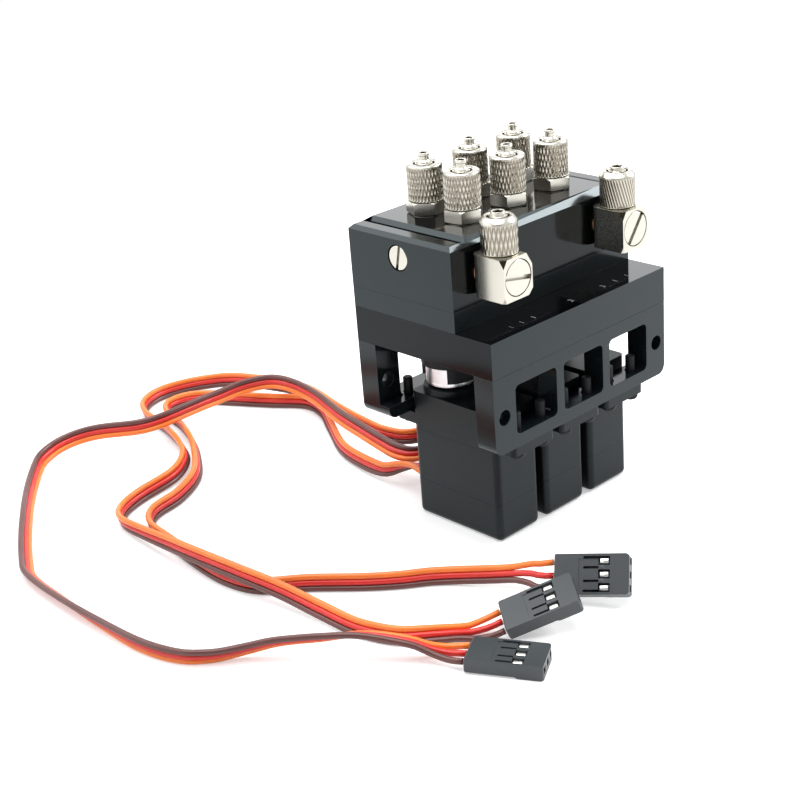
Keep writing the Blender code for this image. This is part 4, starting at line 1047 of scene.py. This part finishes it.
# %% Servo cases and their screws
CASE_HALF, CASE_FRONT, CASE_REAR = 6.0, -12.59, 10.41
COVER_TOP, MIDDLE_TOP, CASE_TOP = 8.13, 19.53, 27.7
TAB_LOW, TAB_HIGH, TAB_REACH = 20.35, 22.85, 4.72
TOWER_TOP, TOWER_RADIUS = 29.2, 5.8
SEAM, CASE_ROUND = 0.02, 1.3


def add_case_part(name, low, high):
    part = new_box(name, (-CASE_HALF, CASE_FRONT, low), (CASE_HALF, CASE_REAR, high))
    return round_edges(
        part, CASE_ROUND, 6, lambda a, b: is_upright(a, b) or near(a.z, 0) and near(b.z, 0)
    )


def add_servo_patterns():
    cover = add_case_part("cover", 0.0, COVER_TOP)
    outlet = new_box("outlet", (-2.2, 9, 4.8), (2.2, 11.31, 7.2))
    boolean(cover, soften(outlet, 0.2), "UNION")
    middle = add_case_part("middle", COVER_TOP + SEAM, MIDDLE_TOP)
    top = add_case_part("top", MIDDLE_TOP + SEAM, CASE_TOP)
    tabs = new_box("tabs", (-CASE_HALF, CASE_FRONT - TAB_REACH, TAB_LOW),
                   (CASE_HALF, CASE_REAR + TAB_REACH, TAB_HIGH))
    boolean(top, round_edges(tabs, 1.0, 5, is_upright), "UNION")
    tower = new_turned("tower", [
        (TOWER_RADIUS, CASE_TOP - 1), (TOWER_RADIUS, TOWER_TOP - 0.2),
        (TOWER_RADIUS - 0.2, TOWER_TOP),
    ], 64)
    boolean(top, move_mesh(tower, placed(0, VALVE_Y, 0)), "UNION")
    drill(top, 1.7, (0, VALVE_Y, 24.2), (0, VALVE_Y, 30))
    for y in SCREW_Y.values():
        for x in (-SCREW_SIDE, SCREW_SIDE):
            drill(top, SCREW_BORE, (x, y, TAB_LOW - 1), (x, y, TAB_HIGH + 1), 20)
    parts = {"servo_bottom_cover": cover, "servo_middle_case": middle, "servo_top_case": top}
    for part in parts.values():
        dress(soften(part, 0.06, 2, 40), servo_plastic)
    return parts


def add_screw_pattern():
    """A cross-head screw that points upwards, with the underside of its head at zero."""
    screw = new_turned("screw", [
        (0.85, -1.05), (1.28, -0.85), (1.5, -0.45), (1.5, 0), (0.98, 0.02), (0.98, 8.5),
        (0.75, 8.7),
    ], 28)
    for turn in (0, math.pi / 2):
        arm = new_box("arm", (-0.85, -0.16, -2), (0.85, 0.16, -0.6))
        boolean(screw, move_mesh(arm, placed(0, 0, 0, turn)))
    return dress(soften(screw, 0.05, 2, 40), dark_steel)


servo_parts = add_servo_patterns()
screw_pattern = add_screw_pattern()
for channel, x in SERVO_X.items():
    for node, part in servo_parts.items():
        copy_piece(part, f"{part.name}_{channel}", placed(x, 0, 0), "frame", "black_plastic",
                   f"{node}_{channel}")
    for row, y in SCREW_Y.items():
        for side, offset in (("left", -SCREW_SIDE), ("right", SCREW_SIDE)):
            name = f"screw_{channel}_{row}_{side}"
            own_turn = 0.4 * (ord(side[0]) % 5) + x
            place = placed(x + offset, y, TAB_LOW - 0.02, own_turn)
            copy_piece(screw_pattern, name, place, "frame", "dark_steel", f"servo_{name}")
remove(screw_pattern, *servo_parts.values())
print("three servos with twelve screws")

# %% [markdown]
# A servo turns its valve through a dog coupling: two rings of jaws that interlock. The lower
# half is a bright disc on the servo's shaft. The upper half is a dark collar on the spool, and
# its jaws hang down between the others. A jaw is a sector of a ring, so one outline serves all.

# %% Dog couplings and spools
JAW_SWEEP, JAW_STEPS, JAW_INNER = math.radians(86), 14, 2.2
DISC_RADIUS, DISC_JAW_START = 5.1, math.radians(129.6)
COLLAR_RADIUS, COLLAR_JAW_START = 5.9, math.radians(219.6)


def add_jaws(ring, outer, start, low, high):
    """Joins two opposite jaws to a ring about Z."""
    for first in (start, start + math.pi):
        turns = [first + JAW_SWEEP * step / JAW_STEPS for step in range(JAW_STEPS + 1)]
        corners = [
            (radius * math.cos(turn), radius * math.sin(turn))
            for radius, order in ((outer, turns), (JAW_INNER, turns[::-1])) for turn in order
        ]
        boolean(ring, new_outline("jaw", corners, low, high, "Z"), "UNION")


def add_disc():
    disc = new_turned("coupling_disc", [
        (1.5, 24.5), (1.5, 29.45), (4.9, 29.5), (DISC_RADIUS, 29.7), (DISC_RADIUS, 30.4),
    ], 96)
    add_jaws(disc, DISC_RADIUS, DISC_JAW_START, 30.3, 33.4)
    drill(disc, 0.8, (0, 0, 29.9), (0, 0, 31), 24)
    return dress(soften(disc, 0.10), aluminium)


def add_spool():
    spool = new_turned("valve_spool", [
        (5.7, 33.7), (COLLAR_RADIUS, 33.9), (COLLAR_RADIUS, 38.4), (5.7, 38.6), (2.8, 38.65),
        (2.8, 47.6), (2.2, 47.7), (2.2, 48.7), (2.8, 48.8), (2.8, 53.0), (1.9, 53.6),
        (1.9, 56.4), (2.8, 57.0), (2.8, 59.0), (2.6, 59.2),
    ], 96)
    add_jaws(spool, COLLAR_RADIUS, COLLAR_JAW_START, 30.7, 33.8)
    return dress(soften(spool, 0.10), dark_steel)


disc_pattern, spool_pattern = add_disc(), add_spool()
for channel, x in SERVO_X.items():
    place, body = placed(x, VALVE_Y, 0), f"spool_{channel}"
    copy_piece(disc_pattern, f"coupling_disc_{channel}", place, body, "bare_aluminium",
               f"drive_disc_{channel}")
    copy_piece(spool_pattern, f"spool_and_collar_{channel}", place, body, "dark_steel",
               f"valve_spool_{channel}")
remove(disc_pattern, spool_pattern)
print("three dog couplings, two jaws on each half")

# %% [markdown]
# A knurled nut is turned, and then rolled between toothed wheels that press a pattern of
# lozenges into it. Here its wall is a fine grid. The grid's points that lie in the grooves are
# found by their place in the pattern, and are scaled towards the axis. An attribute keeps how
# deep each point lies, so that the finish can darken the grooves: painted shade, mixed with
# dirt.

# %% Knurled nuts
KNURL_RADIUS, NUT_BORE = 3.56, 2.10


def lozenges(column, row):
    """How deep a point of the grid lies: 1 in a groove, 0 on top. Six points make a lozenge."""
    high = min(abs((column + row) % 6 - 3), abs((column - row) % 6 - 3)) / 3
    return round(max(0.0, 1 - 1.3 * high), 3)


def ridges(column, row):
    return (0.0, 0.15, 0.8, 1.0, 0.55)[column % 5]


def add_knurled_nut(name, foot, top, edge, rows, columns, pattern, depth, twist=0.0):
    """A nut about Z. The edge is the height and the width of its upper chamfer."""
    rim, slope = edge
    low, high = foot + 0.35, top - rim
    heights = [low + (high - low) * row / rows for row in range(rows + 1)]
    shoulder = KNURL_RADIUS - slope
    nut = new_turned(name, [
        (3.30, foot), (3.52, foot + 0.2), *((KNURL_RADIUS, height) for height in heights),
        (KNURL_RADIUS - 0.05, high + 0.08), (shoulder, top - 0.06), (shoulder - 0.15, top),
        (NUT_BORE + 0.15, top), (NUT_BORE + 0.02, top - 0.12), (NUT_BORE, top - 0.2),
        (NUT_BORE, top - 2.4), (1.98, top - 2.5), (1.98, foot),
    ], columns)
    select(nut, "FACE", lambda p, n: near(p.z, foot) and near(p.x, 0) and near(p.y, 0))
    bpy.ops.mesh.delete(type="ONLY_FACE")
    select(nut, "EDGE", lambda a, b: near(a.z, foot) and near(b.z, foot))
    bpy.ops.mesh.bridge_edge_loops()
    face_outwards()

    def depth_at(p):
        if p.to_2d().length < 3.4 or not low - 0.1 < p.z < high - 0.05:
            return 0.0
        column = round(math.atan2(p.y, p.x) / (2 * math.pi) * columns)
        return pattern(column, round((p.z - low) / (high - low) * rows))

    # The groove depths also darken the nickel there: painted shade, mixed with dirt.
    mask = nut.data.attributes.new("hollow", "FLOAT", "POINT")
    depths = [depth_at(point.co / MM) for point in nut.data.vertices]
    mask.data.foreach_set("value", depths)
    for level in sorted(set(depths) - {0.0}):
        select(nut, "VERT", lambda p: depth_at(p) == level)
        shrink = 1 - depth * level / KNURL_RADIUS
        bpy.ops.transform.resize(value=(shrink, shrink, 1), center_override=(0, 0, 0))
    if twist:
        for row, height in enumerate(heights):
            select(nut, "VERT", lambda p: near(p.z, height) and p.to_2d().length > 3)
            bpy.ops.transform.rotate(
                value=twist * row, orient_axis="Z", center_override=(0, 0, 0)
            )
    close_edit()
    # The nut's bore gets painted shade.
    mark_painted_shade(nut, lambda p: p.to_2d().length < NUT_BORE + 0.05 and p.z < top - 0.15)
    only(nut)
    bpy.ops.object.shade_smooth_by_angle(angle=math.radians(60))
    return dress(nut, nickel)

# %% [markdown]
# A hose fitting stands over each port: a thin flange, a hexagon, and a fine tube through the
# knurled nut. The hexagon's corners are turned off, as on any nut: it is the part that a
# hexagon and a chamfered disc share. The tube is bored at its tip, where the hose goes over it.

# %% Hose fittings on the deck
HEX_CORNER = 3.5 / math.cos(math.pi / 6)
HEX_HIGH = 66.1
DECK_NUT_FOOT, DECK_NUT_TOP, DECK_NUT_EDGE = 66.16, 73.4, (0.28, 0.18)
STEM_TOP = 75.4
FITTING_TURN = {"front": math.radians(8), "rear": math.radians(38)}
NUT_TURN = {"front": 0.0, "rear": 0.11}


def add_fitting():
    hexagon = new_turned("fitting", [(HEX_CORNER, 63.75), (HEX_CORNER, HEX_HIGH)], 6)
    corners = new_turned("corners", [
        (3.80, 63.7), (4.08, 63.9), (4.08, 65.85), (3.70, HEX_HIGH + 0.01),
    ], 72)
    boolean(hexagon, corners, "INTERSECT")
    tube = new_turned("tube", [
        (1.95, 60.7), (1.95, 63.45), (3.15, DECK + 0.01), (3.30, 63.6), (3.30, 63.8),
        (1.85, 63.9), (1.85, 70.2), (1.72, 70.3), (1.72, DECK_NUT_TOP - 0.1),
        (1.42, DECK_NUT_TOP), (1.42, 73.7), (1.05, 74.0), (1.05, 74.75), (1.18, 74.9),
        (1.18, 75.25), (1.08, STEM_TOP), (0.82, STEM_TOP), (0.76, 75.3), (0.76, 75.15),
        (0.74, 72.0),
    ], 40)
    soften(boolean(hexagon, tube, "UNION"), 0.05, 2, 28)
    # The tube's bore gets painted shade.
    mark_painted_shade(hexagon, lambda p: p.to_2d().length < 0.8 and p.z < 75.2)
    return dress(hexagon, nickel)


fitting_pattern = add_fitting()
nut_pattern = add_knurled_nut(
    "deck_nut", DECK_NUT_FOOT, DECK_NUT_TOP, DECK_NUT_EDGE, 15, 192, lozenges, 0.25
)
for row, y in FITTING_Y.items():
    for number, x in enumerate(FITTING_X, 1):
        place = placed(x, y, 0, FITTING_TURN[row])
        copy_piece(fitting_pattern, f"fitting_{row}_{number}", place, "frame", "nickel_plate",
                   f"hose_fitting_{row}_{number}")
        place, body = placed(x, y, 0, 0.37 * number + NUT_TURN[row]), f"hose_nut_{row}_{number}"
        copy_piece(nut_pattern, f"knurled_nut_{row}_{number}", place, body, "nickel_plate", body)
remove(fitting_pattern, nut_pattern)
print("six hose fittings with their nuts")

# %% [markdown]
# The gallery that feeds all three valves is drilled from the left end of the block, and closed
# there by a slotted screw. Its head lies just inside the hole, so a thin dark ring shows.

# %% Gallery screw
def add_slot(piece, width, reach, low, high, turn):
    """Cuts a screwdriver slot across a head that faces up Z."""
    cutter = new_box("slot", (-reach, -width / 2, low), (reach, width / 2, high))
    return boolean(piece, move_mesh(cutter, placed(0, 0, 0, turn)))


gallery_screw = new_turned("gallery_screw", [
    (2.3, 0), (2.45, 0.15), (2.45, 4.3), (2.35, 4.4),
], 64)
add_slot(gallery_screw, 0.62, 3, 3.5, 5, math.radians(-12))
soften(gallery_screw, 0.06)
move_mesh(gallery_screw, placed(-21.5, GALLERY_Y, GALLERY_Z, -math.pi / 2, "Y"))
belongs(dress(gallery_screw, nickel), "frame", "nickel_plate", "gallery_plug")
print("gallery screw")

# %% [markdown]
# Two banjo elbows let the air in at the front. Each is a block with two flats milled on its
# right. Its two front left corners are cut off, and the upper cut is a small facet with three
# corners, which gets painted shade to show dark. A hollow bolt holds it, whose slotted head lies
# flush in the face.

# %% Elbow bodies
ELBOW_HALF = 3.9
ELBOW_FRONT, ELBOW_BACK = -18.03, -9.58
ELBOW_LOW, ELBOW_HIGH = 52.4, 60.75
STEM_Y = -13.65
ELBOW_NUT_FOOT, ELBOW_NUT_TOP, ELBOW_NUT_EDGE = 60.8, 67.9, (0.95, 0.66)
HEAD_RADIUS, RECESS_RADIUS, HEAD_DEPTH = 3.42, 3.60, 1.6
FLAT_UPPER, FLAT_LOWER = (1.5, 2.5), (1.2, 1.2)
LOW_CORNER_CUT, TOP_CORNER_CUT = (0.5, 0.6, 1.2), (1.0, 1.1, 1.6)


def cut_corner(elbow, left, cut, height, upward):
    """Cuts a front left corner off, and gives a point of the cut face and its direction."""
    x, y, z = cut
    point = Vector((left, ELBOW_FRONT, height - upward * z))
    direction = Vector((-1 / x, -1 / y, upward / z)).normalized()
    chamfer(elbow, point, direction)
    return point, direction


def add_elbow(side, x):
    left, right = x - ELBOW_HALF, x + ELBOW_HALF
    elbow = new_outline(f"elbow_{side}", [
        (left, ELBOW_LOW), (right - FLAT_LOWER[0], ELBOW_LOW),
        (right, ELBOW_LOW + FLAT_LOWER[1]), (right, ELBOW_HIGH - FLAT_UPPER[1]),
        (right - FLAT_UPPER[0], ELBOW_HIGH), (left, ELBOW_HIGH),
    ], ELBOW_FRONT, ELBOW_BACK, "Y")
    point, direction = cut_corner(elbow, left, TOP_CORNER_CUT, ELBOW_HIGH, 1)
    cut_corner(elbow, left, LOW_CORNER_CUT, ELBOW_LOW, -1)
    round_edges(elbow, 1.9, 8, lambda a, b: near(a.x, left) and near(b.x, left)
                and near(a.y, ELBOW_BACK) and near(b.y, ELBOW_BACK))
    drill(elbow, RECESS_RADIUS, (x, ELBOW_FRONT - 1, BOLT_Z),
          (x, ELBOW_FRONT + HEAD_DEPTH + 0.1, BOLT_Z), 96)
    drill(elbow, 2.0, (x, ELBOW_FRONT, BOLT_Z), (x, ELBOW_BACK + 1, BOLT_Z), 48)
    stem = new_turned("stem", [
        (2.1, 59.9), (2.1, 61.4), (1.9, 61.5), (1.9, 65.4), (1.75, 65.5),
        (1.75, ELBOW_NUT_TOP - 0.1), (1.4, ELBOW_NUT_TOP), (1.4, 68.5), (1.28, 68.7),
        (1.05, 68.7), (0.98, 68.55), (0.98, 68.4), (0.98, 64.0),
    ], 48)
    boolean(elbow, move_mesh(stem, placed(x, STEM_Y, 0)), "UNION")
    soften(elbow, 0.10, 2, 28)

    # The stem's bore and the upper cut's facet get painted shade.
    def gets_painted_shade(p):
        in_bore = (p - Vector((x, STEM_Y, p.z))).length < 1.02 and p.z < 68.45
        return in_bore or abs((p - point).dot(direction)) < 0.004 and p.x < x

    mark_painted_shade(elbow, gets_painted_shade)
    belongs(dress(elbow, nickel), f"elbow_{side}", "nickel_plate", f"elbow_body_{side}")

# %% [markdown]
# The two elbows' nuts differ. The left one has lozenges. The right one has slanting ridges: they
# are pressed in upright, and then each row of the grid is turned a little further than the row
# below it. A copper washer seals each elbow against the block.

# %% Bolts, washers and elbow nuts
BOLT_SLOT_TURN = {"left": math.radians(-11), "right": math.radians(52)}
ELBOW_NUT_KNURLS = {
    "left": (9, 156, lozenges, 0.15, 0.0),
    "right": (12, 185, ridges, 0.11, math.radians(2.2)),
}


def add_bolt(side, x):
    end = ELBOW_FRONT + 4.75
    bolt = new_turned(f"slotted_bolt_{side}", [
        (1.7, end), (1.9, end + 0.2), (1.9, -HEAD_DEPTH), (HEAD_RADIUS, -HEAD_DEPTH),
        (HEAD_RADIUS, -0.08), (HEAD_RADIUS - 0.08, 0),
    ], 96)
    add_slot(bolt, 0.92, 4, -0.85, 1, BOLT_SLOT_TURN[side])
    move_mesh(soften(bolt, 0.05), placed(x, ELBOW_FRONT + 0.02, BOLT_Z, math.pi / 2, "X"))
    belongs(dress(bolt, nickel), "frame", "nickel_plate", f"banjo_bolt_{side}")


def add_washer(side, x):
    rings = [(2.65, 0), (2.8, 0.1), (2.8, 0.23), (2.65, 0.32)]
    washer = drill(new_turned(f"seal_{side}", rings), 2.0, (0, 0, -1), (0, 0, 1))
    place = placed(x, BLOCK_FRONT - 0.002, BOLT_Z, math.pi / 2, "X")
    move_mesh(soften(washer, 0.04), place)
    belongs(dress(washer, copper), "frame", "copper_seal", f"banjo_washer_{side}")


for side, x in (("left", -ELBOW_X), ("right", ELBOW_X)):
    add_elbow(side, x)
    add_bolt(side, x)
    add_washer(side, x)
    nut = add_knurled_nut(
        f"knurled_elbow_nut_{side}", ELBOW_NUT_FOOT, ELBOW_NUT_TOP, ELBOW_NUT_EDGE,
        *ELBOW_NUT_KNURLS[side],
    )
    move_mesh(nut, placed(x, STEM_Y, 0))
    belongs(nut, f"elbow_nut_{side}", "nickel_plate", f"elbow_nut_{side}")
print("two elbows with bolts, seals and nuts")

# %% [markdown]
# The ledge in front of the block carries a number for each channel and short strokes between.
# They are printed, so each is a text or a few thin strips that stand a hundredth of a
# millimetre proud. A text is turned into a mesh before it is moved to its place.

# %% Channel numbers on the ledge
MARK_Y = -15.9
MARKS = {"1": (-17.0, (3.0, 6.3)), "2": (0.3, ()), "3": (10.1, (3.9, 7.7))}
FIGURE_HEIGHT, INK = 1.25, 0.01
FIGURE_PART_OF_SIZE = 0.7


def add_marks(number, x, strokes):
    """A figure at x, with its strokes at their distances from it."""
    select_nothing()
    bpy.ops.object.text_add(location=(0, 0, 0))
    text = bpy.context.object.data
    text.body = number
    text.size = FIGURE_HEIGHT * MM / FIGURE_PART_OF_SIZE
    text.extrude = INK * MM
    text.align_x = "CENTER"
    bpy.ops.object.convert(target="MESH")
    figure = bpy.context.object
    for shift in strokes:
        low, high = (shift - 0.1, 0, -INK), (shift + 0.1, FIGURE_HEIGHT, INK)
        strip = round_edges(new_box("stroke", low, high), 0.08, 2, is_upright)
        only(figure)
        strip.select_set(True)
        bpy.ops.object.join()
    figure.name = f"channel_mark_{number}"
    move_mesh(figure, placed(x, MARK_Y, LEDGE_Z + INK / 2))
    belongs(dress(figure, white_print), "frame", "black_anodised")


for number, (x, strokes) in MARKS.items():
    add_marks(number, x, strokes)
print("three channel marks")

# %% [markdown]
# The last cell says that the scene is built.

# %% End
print("scene built")
